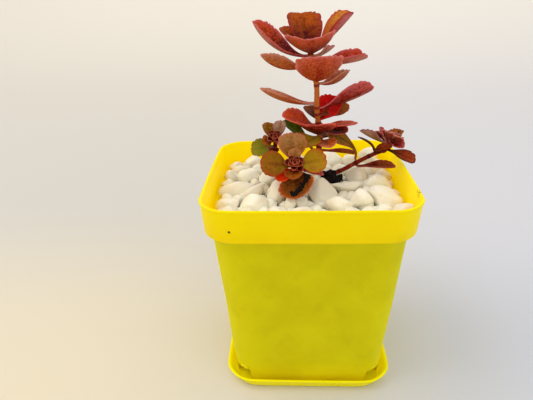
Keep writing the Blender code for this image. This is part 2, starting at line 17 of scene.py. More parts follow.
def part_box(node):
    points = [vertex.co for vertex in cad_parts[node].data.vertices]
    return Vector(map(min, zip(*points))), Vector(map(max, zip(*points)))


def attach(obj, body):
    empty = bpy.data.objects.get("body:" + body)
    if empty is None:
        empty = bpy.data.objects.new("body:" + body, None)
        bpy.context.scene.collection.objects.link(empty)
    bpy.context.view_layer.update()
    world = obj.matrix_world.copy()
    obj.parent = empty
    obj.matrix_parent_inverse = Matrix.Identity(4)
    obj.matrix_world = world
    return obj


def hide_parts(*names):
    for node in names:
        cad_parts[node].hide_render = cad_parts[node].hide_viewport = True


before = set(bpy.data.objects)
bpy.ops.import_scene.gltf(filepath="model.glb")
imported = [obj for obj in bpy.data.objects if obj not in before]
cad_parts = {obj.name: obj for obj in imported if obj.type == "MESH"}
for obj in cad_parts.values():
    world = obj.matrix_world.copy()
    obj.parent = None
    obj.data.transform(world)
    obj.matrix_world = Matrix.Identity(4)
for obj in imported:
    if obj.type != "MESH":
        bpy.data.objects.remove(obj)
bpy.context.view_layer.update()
MM = 0.001


# ---- saucer ----------------------------------------------------------------------------
# A shallow square tray of glossy yellow polypropylene that catches the water from the pot.
# It is moulded in one piece, with a thin turned-out lip, and stands flat on the ground.

SAUCER_BOW = 0.3     # how far its sides bulge at their middle
SAUCER_WALL = 1.0
SAUCER_FLOOR = 1.5
SAUCER_CORNER = 15.4
SAUCER_TAPER = 3.0   # how much narrower its base is than its lip, on each side
LIP_OUT = 1.1        # how far the lip is turned out
LIP_DEEP = 1.4
GATE = Vector((0.1, -44.0, 4.4))     # where the plastic ran into the mould leaves a low nub
GATE_REACH = 3.0
WELD = 1e-6          # metres; closes the seam of a rolled sheet


def paint(red, green, blue):
    """A colour as a paint chart gives it, 0 to 255, made linear."""
    return tuple(
        part / 255 / 12.92 if part < 10.3 else ((part / 255 + 0.055) / 1.055) ** 2.4
        for part in (red, green, blue))


class Wire:
    """A value from a finish's nodes. Arithmetic on it adds the Math nodes that work it out."""

    def __init__(self, finish, socket):
        self.finish = finish
        self.socket = socket

    def __add__(self, other):
        return self.finish.math("ADD", self, other)

    def __sub__(self, other):
        return self.finish.math("SUBTRACT", self, other)

    def __rsub__(self, other):
        return self.finish.math("SUBTRACT", other, self)

    def __mul__(self, other):
        return self.finish.math("MULTIPLY", self, other)

    __radd__ = __add__
    __rmul__ = __mul__


class Finish:
    """A material with one Principled shader, whose nodes work out what varies over the surface."""

    def __init__(self, name, **constants):
        self.material = bpy.data.materials.new(name)
        self.material.use_nodes = True
        self.shader = self.material.node_tree.nodes["Principled BSDF"]
        for word, value in constants.items():
            self.feed(self.socket(word), value)
        self.place = self.node("ShaderNodeTexCoord", {}, {}, "Object")

    def socket(self, word):
        """The shader's input of that name, such as base_color."""
        return self.shader.inputs[word.replace("_", " ").title().replace("Ior", "IOR")]

    def feed(self, socket, value):
        """Link a wire to a socket, or set the socket to a plain value or colour."""
        if isinstance(value, Wire):
            self.material.node_tree.links.new(value.socket, socket)
        elif isinstance(value, tuple) and socket.type == "RGBA":
            socket.default_value = (*value, 1.0)
        else:
            socket.default_value = value

    def node(self, kind, settings, inputs, output=0):
        """Add a node of that kind, with its settings first and then its inputs."""
        made = self.material.node_tree.nodes.new(kind)
        for name, value in settings.items():
            setattr(made, name, value)
        for name, value in inputs.items():
            self.feed(made.inputs[name], value)
        return Wire(self, made.outputs[output])

    def math(self, operation, *values):
        """Work out one value from others."""
        return self.node("ShaderNodeMath", {"operation": operation}, dict(enumerate(values)))

    def ease(self, value, low, high):
        """0 below low, 1 above high, and a smooth step between them."""
        return self.node(
            "ShaderNodeMapRange", {"interpolation_type": "SMOOTHSTEP"},
            {"Value": value, "From Min": low, "From Max": high})

    def mix(self, share, first, second):
        """The first colour where share is 0, and the second where it is 1."""
        return self.node("ShaderNodeMix", {"data_type": "RGBA"}, {0: share, 6: first, 7: second}, 2)

    def grain(self, size, detail=2.0, stretch=(1, 1, 1)):
        """Soft random patches about this many millimetres across."""
        place = self.place
        if stretch != (1, 1, 1):
            place = self.node("ShaderNodeMapping", {}, {"Vector": place, "Scale": stretch})
        return self.node(
            "ShaderNodeTexNoise", {}, {"Vector": place, "Scale": 1 / (size * MM), "Detail": detail})

    def mark(self, name):
        """A value that the mesh carries at each of its points."""
        return self.node("ShaderNodeAttribute", {"attribute_name": name}, {}, "Fac")

    def part(self, axis):
        """How far along that axis a place of the object is, in metres."""
        return self.node("ShaderNodeSeparateXYZ", {}, {"Vector": self.place}, axis)

    def height(self):
        """Height above the ground in millimetres."""
        return self.part("Z") * (1 / MM)

    def near(self, place, reach):
        """1 at a place on the object, easing to 0 at this many millimetres from it."""
        gap = self.node(
            "ShaderNodeVectorMath", {"operation": "DISTANCE"}, {0: self.place, 1: place * MM}, "Value")
        return 1 - self.ease(gap * (1 / MM), reach / 2, reach)

    def relief(self, depth, height):
        """Let a height pattern this many millimetres deep catch the light."""
        self.feed(self.shader.inputs["Normal"], self.node(
            "ShaderNodeBump", {}, {"Strength": 1.0, "Distance": depth * MM, "Height": height}))

    def cover(self, **wires):
        """Give the shader what varies over the surface, such as base_color."""
        for name, value in wires.items():
            self.feed(self.socket(name), value)


def as_mesh(name, shape):
    """The mesh of a shape that is finished."""
    mesh = bpy.data.meshes.new(name)
    shape.to_mesh(mesh)
    shape.free()
    return mesh


def put(name, data):
    """Put an object in the scene."""
    thing = bpy.data.objects.new(name, data)
    bpy.context.collection.objects.link(thing)
    return thing


def rolled_sheet(name, columns, rows, place, marks=()):
    """A closed mesh: a grid rolled into a tube, with its first and last rows drawn together.

    place gives each point's position, followed by its values for the named marks.
    """
    sheet = bmesh.new()
    layers = [sheet.verts.layers.float.new(mark) for mark in marks]
    bmesh.ops.create_grid(sheet, x_segments=columns, y_segments=rows, size=1.0)
    for vertex in sheet.verts:
        column = round((vertex.co.x + 1) / 2 * columns) % columns
        row = round((vertex.co.y + 1) / 2 * rows)
        position, *values = place(column, row)
        vertex.co = position * MM
        for layer, value in zip(layers, values):
            vertex[layer] = value
    bmesh.ops.remove_doubles(sheet, verts=sheet.verts, dist=WELD)
    bmesh.ops.recalc_face_normals(sheet, faces=sheet.faces)
    return as_mesh(name, sheet)


def outline_point(angle, half, corner, height, bow):
    """The point of a rounded square with bowed sides that lies in the given direction."""
    if half == 0:
        return Vector((0, 0, height))
    folded = abs((angle + math.pi / 4) % (math.pi / 2) - math.pi / 4)
    centre = half - corner
    if half * math.tan(folded) <= centre:
        reach = half / math.cos(folded)
    else:
        across = centre * (math.cos(folded) - math.sin(folded))
        reach = centre * (math.cos(folded) + math.sin(folded)) + math.sqrt(corner ** 2 - across ** 2)
    reach *= 1 + bow / half * (1 - math.tan(folded) ** 2)
    return Vector((reach * math.cos(angle), reach * math.sin(angle), height))


def outline_angles(flat_steps=12, corner_steps=16, start=math.radians(35.4)):
    """Directions to the points of a rounded square, closest together at its corners."""
    sweep = math.pi / 2 - 2 * start
    quarter = [start + sweep * step / corner_steps for step in range(corner_steps)]
    quarter += [start + sweep + 2 * start * step / flat_steps for step in range(flat_steps)]
    return [angle + math.pi / 2 * side for side in range(4) for angle in quarter]


def eased(profile, longest=5.0):
    """A profile whose corners are rounded by each row's last number, and its long spans divided."""
    rows = [Vector(row[:-1]) for row in profile]
    curve = [rows[0]]
    for index in range(1, len(rows) - 1):
        before, here, after = rows[index - 1:index + 2]
        reach = profile[index][-1]
        start = here.lerp(before, min(0.45, reach / (before - here).length))
        end = here.lerp(after, min(0.45, reach / (after - here).length))
        for step in range(4):
            share = step / 3
            curve.append(start.lerp(here, share).lerp(here.lerp(end, share), share))
    curve.append(rows[-1])
    fine = [curve[0]]
    for start, end in zip(curve, curve[1:]):
        pieces = max(1, math.ceil((end - start).length / longest))
        fine += [start.lerp(end, step / pieces) for step in range(1, pieces + 1)]
    return fine


def add_piece(name, mesh, finish, slot, *nodes):
    """Put a finished mesh in the scene as a piece that rides on the one body."""
    mesh.materials.append(finish.material)
    mesh.shade_smooth()
    piece = put(name, mesh)
    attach(piece, "root")
    if nodes:
        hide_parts(*nodes)
    return piece


def saucer_mesh():
    """The tray, whose rows run from under its floor, out over the lip, to the floor's upper side.

    Each row is a half-width, a corner's radius, a height, the sides' bow and the row's rounding.
    """
    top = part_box("saucer")[1] / MM
    rim = top.x - SAUCER_BOW
    base = rim - SAUCER_TAPER
    shoulder = rim - LIP_OUT
    corner = SAUCER_CORNER
    profile = eased([
        (0, 0, 0, 0, 0),
        (base - 0.6, corner - 1, 0, 0, 1.0),
        (base, corner - 0.6, 0.5, 0, 0.6),
        (shoulder, corner - 0.2, top.z - LIP_DEEP, SAUCER_BOW, 0.7),
        (rim, corner, top.z - 0.8, SAUCER_BOW, 0.35),
        (rim, corner, top.z, SAUCER_BOW, 0.35),
        (shoulder, corner - 1, top.z - 0.1, SAUCER_BOW, 0.5),
        (shoulder - SAUCER_WALL, corner - 1.4, top.z - LIP_DEEP, SAUCER_BOW, 0.5),
        (base - 0.7, corner - 1.8, SAUCER_FLOOR, 0, 1.0),
        (0, 0, SAUCER_FLOOR, 0, 0)])
    turn_row = max(range(len(profile)), key=lambda row: profile[row][2])
    angles = outline_angles()

    def place(column, row):
        return outline_point(angles[column], *profile[row]), 1.0 if row > turn_row else 0.0

    return rolled_sheet("saucer_tray", len(angles), len(profile) - 1, place, ["inside"])


saucer_plastic = Finish(
    "saucer_plastic", specular_ior_level=0.12, subsurface_weight=0.8, subsurface_scale=0.003,
    subsurface_radius=(1.0, 0.95, 0.1), emission_strength=1.0)
clouds = saucer_plastic.grain(9)
dust = saucer_plastic.grain(1.5, 4)
# Painted glow: the emission makes the thin plastic glow yellow, more on the inside than the outside,
# standing in for light that shines through it.
saucer_plastic.cover(
    base_color=saucer_plastic.mix(clouds, paint(244, 226, 3), paint(254, 238, 6)),
    emission_color=saucer_plastic.mix(saucer_plastic.mark("inside"), paint(40, 34, 0), paint(96, 80, 0)),
    roughness=0.26 + dust * 0.18)
saucer_plastic.relief(0.05, clouds + dust * 0.2 + saucer_plastic.near(GATE, GATE_REACH) * 8)
add_piece("saucer_tray", saucer_mesh(), saucer_plastic, "yellow_saucer", "saucer")


# ---- pot -------------------------------------------------------------------------------
# A thin square nursery pot of yellow polypropylene: a smooth collar above a long tapered body,
# whose foot is cut away at its four corners so that it clips over the saucer.

SIDE_BOW = 0.6
RIM_HALF = 50.0
COLLAR_HALF = 48.4
COLLAR_BOTTOM = 91.2
BODY_TOP_HALF = 45.4
BODY_BOTTOM_HALF = 38.5
POT_CORNER = 14.5
POT_BASE_CORNER = 13.0
WALL = 1.2
NOTCH_TOP = 8.8
NOTCH_START = math.radians(38.5)     # where the foot's corner cut begins, from the nearest side
NOTCH_EDGE = 1e-4    # radians either side of a cut's edge, which keep it crisp
FLOOR_UNDER = 12.2
FLOOR_TOP = FLOOR_UNDER + WALL
LEDGE_TOP = COLLAR_BOTTOM + WALL
DRAIN_RADIUS = 3.0
DRAIN_OFFSET = 20.0
WALL_WAVE = 0.35     # how far a wall this thin wanders from flat
SPECK = Vector((-35.5, -49.4, 97.6))     # a speck of soil stuck to the front of the collar
SPECK_RADIUS = 0.8
SCUFF = Vector((46.6, -30.0, 108.5))     # where a trowel has scraped the inside of the rim
SCUFF_REACH = 5.0

pot_low, pot_high = (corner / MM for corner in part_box("pot"))
POT_BOTTOM = pot_low.z
RIM_TOP = pot_high.z
BODY_TAPER = (BODY_TOP_HALF - BODY_BOTTOM_HALF) / (COLLAR_BOTTOM - POT_BOTTOM)


def body_half(height):
    """Half-width of the pot's outer wall below the collar."""
    return BODY_BOTTOM_HALF + BODY_TAPER * (height - POT_BOTTOM)


def pot_mesh():
    """The shell, whose rows run from under its floor, up the outside and over the rim, back inside."""
    base = POT_BASE_CORNER
    top = POT_CORNER
    profile = eased([
        (0, 0, FLOOR_UNDER, 0, 0),
        (body_half(FLOOR_UNDER) - WALL, base - WALL, FLOOR_UNDER, 0, 1),
        (BODY_BOTTOM_HALF - WALL, base - WALL, POT_BOTTOM, 0, 0.3),
        (BODY_BOTTOM_HALF, base, POT_BOTTOM, 0, 0.4),
        (BODY_TOP_HALF, top - 1, COLLAR_BOTTOM, SIDE_BOW, 0.8),
        (COLLAR_HALF, top, COLLAR_BOTTOM, SIDE_BOW, 1.3),
        (RIM_HALF - 0.4, top, RIM_TOP - 1.6, SIDE_BOW, 0.8),
        (RIM_HALF, top, RIM_TOP - 0.9, SIDE_BOW, 0.3),
        (RIM_HALF, top, RIM_TOP, SIDE_BOW, 0.45),
        (RIM_HALF - WALL, top - WALL, RIM_TOP, SIDE_BOW, 0.45),
        (COLLAR_HALF - WALL, top - WALL, LEDGE_TOP, SIDE_BOW, 0.8),
        (BODY_TOP_HALF - WALL, top - 1 - WALL, LEDGE_TOP, SIDE_BOW, 0.8),
        (body_half(FLOOR_TOP) - WALL, base - WALL, FLOOR_TOP, 0, 1.5),
        (0, 0, FLOOR_TOP, 0, 0)])
    turn_row = max(range(len(profile)), key=lambda row: profile[row][2])
    cuts = [NOTCH_START, math.pi / 2 - NOTCH_START]
    angles = outline_angles()
    for side in range(4):
        for cut in cuts:
            edge = side * math.pi / 2 + cut
            angles += [edge - NOTCH_EDGE, edge + NOTCH_EDGE]
    angles = sorted(angle % (2 * math.pi) for angle in angles)

    def place(column, row):
        angle = angles[column]
        half, corner, height, bow = profile[row]
        if cuts[0] < angle % (math.pi / 2) < cuts[1] and height < NOTCH_TOP:
            half += BODY_TAPER * (NOTCH_TOP - height)
            height = NOTCH_TOP
        point = outline_point(angle, half, corner, height, bow)
        wobble = noise.noise(point * 0.03) * WALL_WAVE * min(1, max(0, half - 36) / 4)
        outward = Vector((math.cos(angle), math.sin(angle), 0))
        inside = 1.0 if row > turn_row else 0.0
        return point + outward * wobble * (FLOOR_TOP < height < RIM_TOP - 8), inside

    return rolled_sheet("pot_shell", len(angles), len(profile) - 1, place, ["inside"])


def worked_out(block):
    """The mesh that a block's modifier makes of it. The block is then cleared away."""
    bpy.context.view_layer.update()
    graph = bpy.context.evaluated_depsgraph_get()
    finished = bpy.data.meshes.new_from_object(block.evaluated_get(graph))
    finished.name = block.data.name
    bpy.data.objects.remove(block)
    return finished


def bored(mesh, places, radius, height, depth):
    """The mesh with upright round holes bored through it."""
    drill = bmesh.new()
    for x, y in places:
        rod = bmesh.ops.create_cone(
            drill, cap_ends=True, segments=32, radius1=radius * MM, radius2=radius * MM, depth=depth * MM)
        bmesh.ops.translate(drill, vec=Vector((x, y, height)) * MM, verts=rod["verts"])
    block = put("bored_block", mesh)
    tool = put("drill", as_mesh("drill", drill))
    cut = block.modifiers.new("holes", "BOOLEAN")
    cut.object = tool
    finished = worked_out(block)
    bpy.data.objects.remove(tool)
    return finished


drains = [(east * DRAIN_OFFSET, north * DRAIN_OFFSET) for east in (-1, 1) for north in (-1, 1)]
drains.append((0, 0))
pot_shell = bored(pot_mesh(), drains, DRAIN_RADIUS, FLOOR_UNDER, 6 * WALL)

pot_plastic = Finish(
    "pot_plastic", specular_ior_level=0.06, subsurface_weight=0.9, subsurface_scale=0.004,
    subsurface_radius=(1.0, 0.95, 0.1), emission_strength=1.0)
height = pot_plastic.height()
inside = pot_plastic.mark("inside")
clouds = pot_plastic.grain(22, 3)
smudges = pot_plastic.grain(9, 4)
dust = pot_plastic.grain(1.1, 3)
body = (1 - pot_plastic.ease(height, COLLAR_BOTTOM - 0.4, COLLAR_BOTTOM + 0.2)) * (1 - inside)
collar_yellow = pot_plastic.mix(clouds, paint(246, 206, 2), paint(254, 216, 4))
# Below the collar the same plastic is painted a darker, greener yellow: painted shade, where the dark soil
# behind the thin wall darkens it. Its smudges and dust are its own.
body_in_painted_shade = pot_plastic.mix(pot_plastic.ease(clouds, 0.3, 0.7), paint(212, 198, 4), paint(222, 209, 6))
body_in_painted_shade = pot_plastic.mix(pot_plastic.ease(smudges, 0.5, 0.75) * 0.2, body_in_painted_shade, paint(184, 172, 8))
body_in_painted_shade = pot_plastic.mix(pot_plastic.ease(dust, 0.5, 0.75) * 0.16, body_in_painted_shade, paint(222, 214, 60))
scrapes = pot_plastic.ease(pot_plastic.grain(1.4, 3, (1, 1, 0.4)), 0.52, 0.58)
scrapes = scrapes * pot_plastic.near(SCUFF, SCUFF_REACH)
marks = scrapes * 0.8 + pot_plastic.near(SPECK, SPECK_RADIUS)
yellow = pot_plastic.mix(body, collar_yellow, body_in_painted_shade)
# Painted glow: the inside of the pot is given a yellow emission, standing in for light shining through its
# thin walls; scraped places don't glow.
painted_glow = pot_plastic.mix(inside * (1 - scrapes), paint(0, 0, 0), paint(112, 88, 0))
pot_plastic.cover(
    base_color=pot_plastic.mix(marks, yellow, paint(52, 40, 12)),
    emission_color=painted_glow,
    roughness=0.36 + body * 0.16 + dust * 0.1)
pot_plastic.relief(0.08, clouds + smudges * 0.3 + dust * 0.12 * body)
add_piece("pot_shell", pot_shell, pot_plastic, "yellow_pot", "pot")


# ---- soil ------------------------------------------------------------------------------
# Dark potting soil fills the pot up to the ledge below the collar. A lump of it has come up
# round the right-hand shoot, with loose crumbs about it on the stones.

GAP = 0.3            # between one piece and the next
SEED = 7
CLOD_CENTRE = Vector((13.0, 12.0, 97.6))
CLOD_SIZE = Vector((6.0, 4.4, 4.6))
CLOD_CORE = 3.4      # radius of the lump's solid middle
CLOD_CRUMBS = 60
CLOD_GRAIN = 0.42    # the finest detail that is left when its crumbs are grown together


def soil_block_mesh():
    """The fill of the pot, with an uneven upper face."""
    top = POT_CORNER - 1 - WALL - GAP
    bottom = POT_BASE_CORNER - WALL - GAP
    profile = eased([
        (0, 0, FLOOR_TOP + GAP, 0, 0),
        (body_half(FLOOR_TOP + GAP) - WALL - GAP, bottom, FLOOR_TOP + GAP, 0, 1.5),
        (BODY_TOP_HALF - WALL - GAP, top, LEDGE_TOP, SIDE_BOW, 1.0),
        (0, 0, LEDGE_TOP, 0, 0)], longest=3.0)
    angles = outline_angles()

    def place(column, row):
        half, corner, height, bow = profile[row]
        point = outline_point(angles[column], half, corner, height, bow)
        if height > LEDGE_TOP - 0.5:
            point.z -= 0.9 * abs(noise.noise(point * 0.45)) + 0.5 * abs(noise.noise(point * 1.3))
        return point,

    return rolled_sheet("soil_block", len(angles), len(profile) - 1, place)


def any_way(dice):
    """A random direction."""
    return Vector([dice.gauss(0, 1) for _ in range(3)]).normalized()


def any_shift(dice):
    """A random step through the noise, so that no two lumps or stones are alike."""
    return Vector([dice.uniform(-50, 50) for _ in range(3)])


def add_lump(heap, centre, radius, fineness, roughness, dice):
    """Add one rough crumb to a heap of them."""
    lump = bmesh.ops.create_icosphere(heap, subdivisions=fineness, radius=1.0)
    shift = any_shift(dice)
    squash = Vector([dice.uniform(0.75, 1.15) for _ in range(3)])
    for vertex in lump["verts"]:
        swell = radius * (1 + roughness * noise.noise(vertex.co * 1.6 + shift))
        vertex.co = (centre + vertex.co * squash * swell) * MM


def fused(mesh, cell):
    """The heap's crumbs grown together into one rough skin."""
    block = put("heap", mesh)
    grow = block.modifiers.new("grown together", "REMESH")
    grow.mode = "VOXEL"
    grow.voxel_size = cell * MM
    return worked_out(block)


def clod_mesh():
    """A lump of crumbs that have grown together round a solid middle."""
    dice = random.Random(SEED)
    heap = bmesh.new()
    add_lump(heap, CLOD_CENTRE - Vector((0, 0, 1)), CLOD_CORE, 3, 0.5, dice)
    for _ in range(CLOD_CRUMBS):
        centre = CLOD_CENTRE + any_way(dice) * CLOD_SIZE * dice.uniform(0.45, 0.95)
        add_lump(heap, centre, dice.uniform(0.8, 2.0), 2, 0.6, dice)
    return fused(as_mesh("soil_clod", heap), CLOD_GRAIN)


potting_soil = Finish("potting_soil", specular_ior_level=0.15)
flecks = potting_soil.grain(0.7, 4)
patches = potting_soil.grain(4, 3)
soil_colour = potting_soil.mix(patches, paint(12, 8, 9), paint(28, 20, 18))
potting_soil.cover(
    base_color=potting_soil.mix(potting_soil.ease(flecks, 0.6, 0.75), soil_colour, paint(74, 52, 38)),
    roughness=0.8 + flecks * 0.2)
potting_soil.relief(0.5, flecks + patches)
add_piece("soil_block", soil_block_mesh(), potting_soil, "soil", "soil")
add_piece("soil_clod", clod_mesh(), potting_soil, "soil")


# ---- stems -----------------------------------------------------------------------------
# Four soft woody shoots rooted in the soil. The tall one is orange brown with a darker ring at
# each pair of leaves; the others are younger, thinner skinned and wine red.

STEM_RADII = {"main_stem": 1.5, "front_stem": 1.25, "left_stem": 1.2, "right_stem": 1.2}
# The way each stem runs, from its root in the soil to its tip.
STEMS = {
    "main_stem": (
        (5.0, 14.0, 82.0), (5.5, 14.0, 98.0), (6.7, 13.0, 119.0), (6.3, 12.6, 125.0),
        (4.9, 12.0, 137.0), (4.7, 11.6, 147.0), (3.1, 11.0, 156.0), (1.0, 10.5, 166.0)),
    "front_stem": (
        (-0.5, 6.0, 83.0), (-1.0, 5.0, 96.0), (-3.5, -2.0, 106.5), (-6.8, -9.0, 113.5)),
    "left_stem": (
        (-13.5, 10.0, 83.0), (-14.5, 10.0, 98.0), (-16.5, 8.0, 112.0), (-16.6, 6.0, 122.2)),
    "right_stem": (
        (8.5, 15.5, 83.0), (9.5, 14.5, 92.0), (12.5, 12.8, 99.0), (20.6, 11.5, 103.9),
        (29.2, 10.0, 109.5), (36.9, 8.0, 114.2), (40.4, 7.0, 115.6), (41.2, 6.2, 120.8)),
}
# Where leaves have grown on each stem, as shares of its length.
STEM_RINGS = {
    "main_stem": (0.27, 0.34, 0.405, 0.455, 0.51, 0.56, 0.615, 0.655, 0.79, 0.93, 0.98),
    "front_stem": (0.5, 0.72, 0.9),
    "left_stem": (0.45, 0.62, 0.78, 0.9),
    "right_stem": (0.42, 0.6, 0.74, 0.84, 0.93),
}
RING_WIDTH = 0.8
RING_SWELL = 0.16    # how much thicker a stem is at a ring, as a share of its radius


class Path:
    """A smooth line through a few points, read by the share of its length."""

    def __init__(self, points, steps=12):
        knots = [Vector(point) for point in points]
        knots = [2 * knots[0] - knots[1], *knots, 2 * knots[-1] - knots[-2]]
        self.line = []
        for index in range(1, len(knots) - 2):
            before, start, end, after = knots[index - 1:index + 3]
            for step in range(steps):
                share = step / steps
                self.line.append(0.5 * (
                    2 * start + (end - before) * share
                    + (2 * before - 5 * start + 4 * end - after) * share ** 2
                    + (3 * start - 3 * end + after - before) * share ** 3))
        self.line.append(knots[-2])
        self.marks = [0.0]
        for start, end in zip(self.line, self.line[1:]):
            self.marks.append(self.marks[-1] + (end - start).length)

    def at(self, share):
        """The place at that share of the line's length."""
        reach = share * self.marks[-1]
        index = min(max(bisect.bisect_left(self.marks, reach), 1), len(self.line) - 1)
        part = (reach - self.marks[index - 1]) / (self.marks[index] - self.marks[index - 1])
        return self.line[index - 1].lerp(self.line[index], part)

    def direction(self, share):
        """The way that the line runs there."""
        return (self.at(min(share + 0.01, 1)) - self.at(max(share - 0.01, 0))).normalized()


def stem_radius(name, share):
    """Stems taper a little towards their tips."""
    return STEM_RADII[name] * (1.05 - 0.2 * share)


def stem_mesh(name, path, sides=24):
    """A round stem, a little thicker at its rings and closed at both ends."""
    rows = round(path.marks[-1] / 0.5)

    def place(column, row):
        share = min(max((row - 1) / (rows - 2), 0), 1)
        ring = max(
            math.exp(-((share - spot) * path.marks[-1] / RING_WIDTH) ** 2)
            for spot in STEM_RINGS[name])
        forward = path.direction(share)
        side = forward.cross(Vector((0, 1, 0))).normalized()
        front = side.cross(forward)
        angle = 2 * math.pi * column / sides
        way = side * math.cos(angle) + front * math.sin(angle)
        centre = path.at(share)
        nearby = centre + way * 2
        bumps = 0.10 * noise.noise(nearby * 0.5) + 0.05 * noise.noise(nearby * 1.7)
        width = 0 if row in (0, rows) else stem_radius(name, share) * (1 + RING_SWELL * ring + bumps)
        return centre + way * width, ring, share

    return rolled_sheet(name + "_bark", sides, rows, place, ["ring", "along"])


def bark_finish(name, low, high, scar, streak):
    """Bark from its low colour at the root to its high one, with scars at the rings and streaks."""
    bark = Finish(name, specular_ior_level=0.1)
    threads = bark.grain(1.2, 3, (1, 1, 0.25))
    patches = bark.grain(5, 2)
    colour = bark.mix(bark.ease(bark.mark("along") + patches * 0.4, 0.3, 1.0), low, high)
    colour = bark.mix(bark.ease(threads, 0.5, 0.7) * 0.5, colour, streak)
    colour = bark.mix(bark.ease(bark.mark("ring"), 0.2, 0.7) * 0.85, colour, scar)
    bark.cover(base_color=colour, roughness=0.38 + threads * 0.25)
    bark.relief(0.18, threads)
    return bark


ripe_bark = bark_finish(
    "ripe_bark", paint(150, 62, 14), paint(188, 104, 40), paint(120, 18, 26), paint(210, 128, 70))
young_bark = bark_finish(
    "young_bark", paint(112, 24, 6), paint(124, 26, 12), paint(58, 6, 6), paint(200, 84, 36))
stem_paths = {name: Path(points) for name, points in STEMS.items()}
for name, path in stem_paths.items():
    bark = ripe_bark if name == "main_stem" else young_bark
    add_piece(name + "_bark", stem_mesh(name, path), bark, "stem", name)


# ---- leaves ----------------------------------------------------------------------------
# Thick fleshy leaves in opposite pairs: narrow at the stem, then a rounded blade with blunt
# teeth round its outer half. The sun has turned them bronze, coral and wine over olive green.

LEAF_THICKNESS = 1.3
PETIOLE_WIDTH = 1.7
LEAF_ROUND = 40      # points around a leaf
LEAF_LONG = 44       # steps along it
TEETH_FROM = math.radians(112)       # how far round from the leaf's end the teeth start
TOOTH_DEPTH = 0.072  # as a share of the leaf's width
TOOTHED_WIDTH = 16   # above this width the teeth grow no deeper
MARGIN_WAVE = 0.008  # how far the margin waves up and down, as a share of the width
MIDRIB = 0.22        # depth of the groove along the upper face
MIDRIB_WIDTH = 0.9
CREASE_ROUND = 1.2   # how widely the crease of a folded leaf is rounded

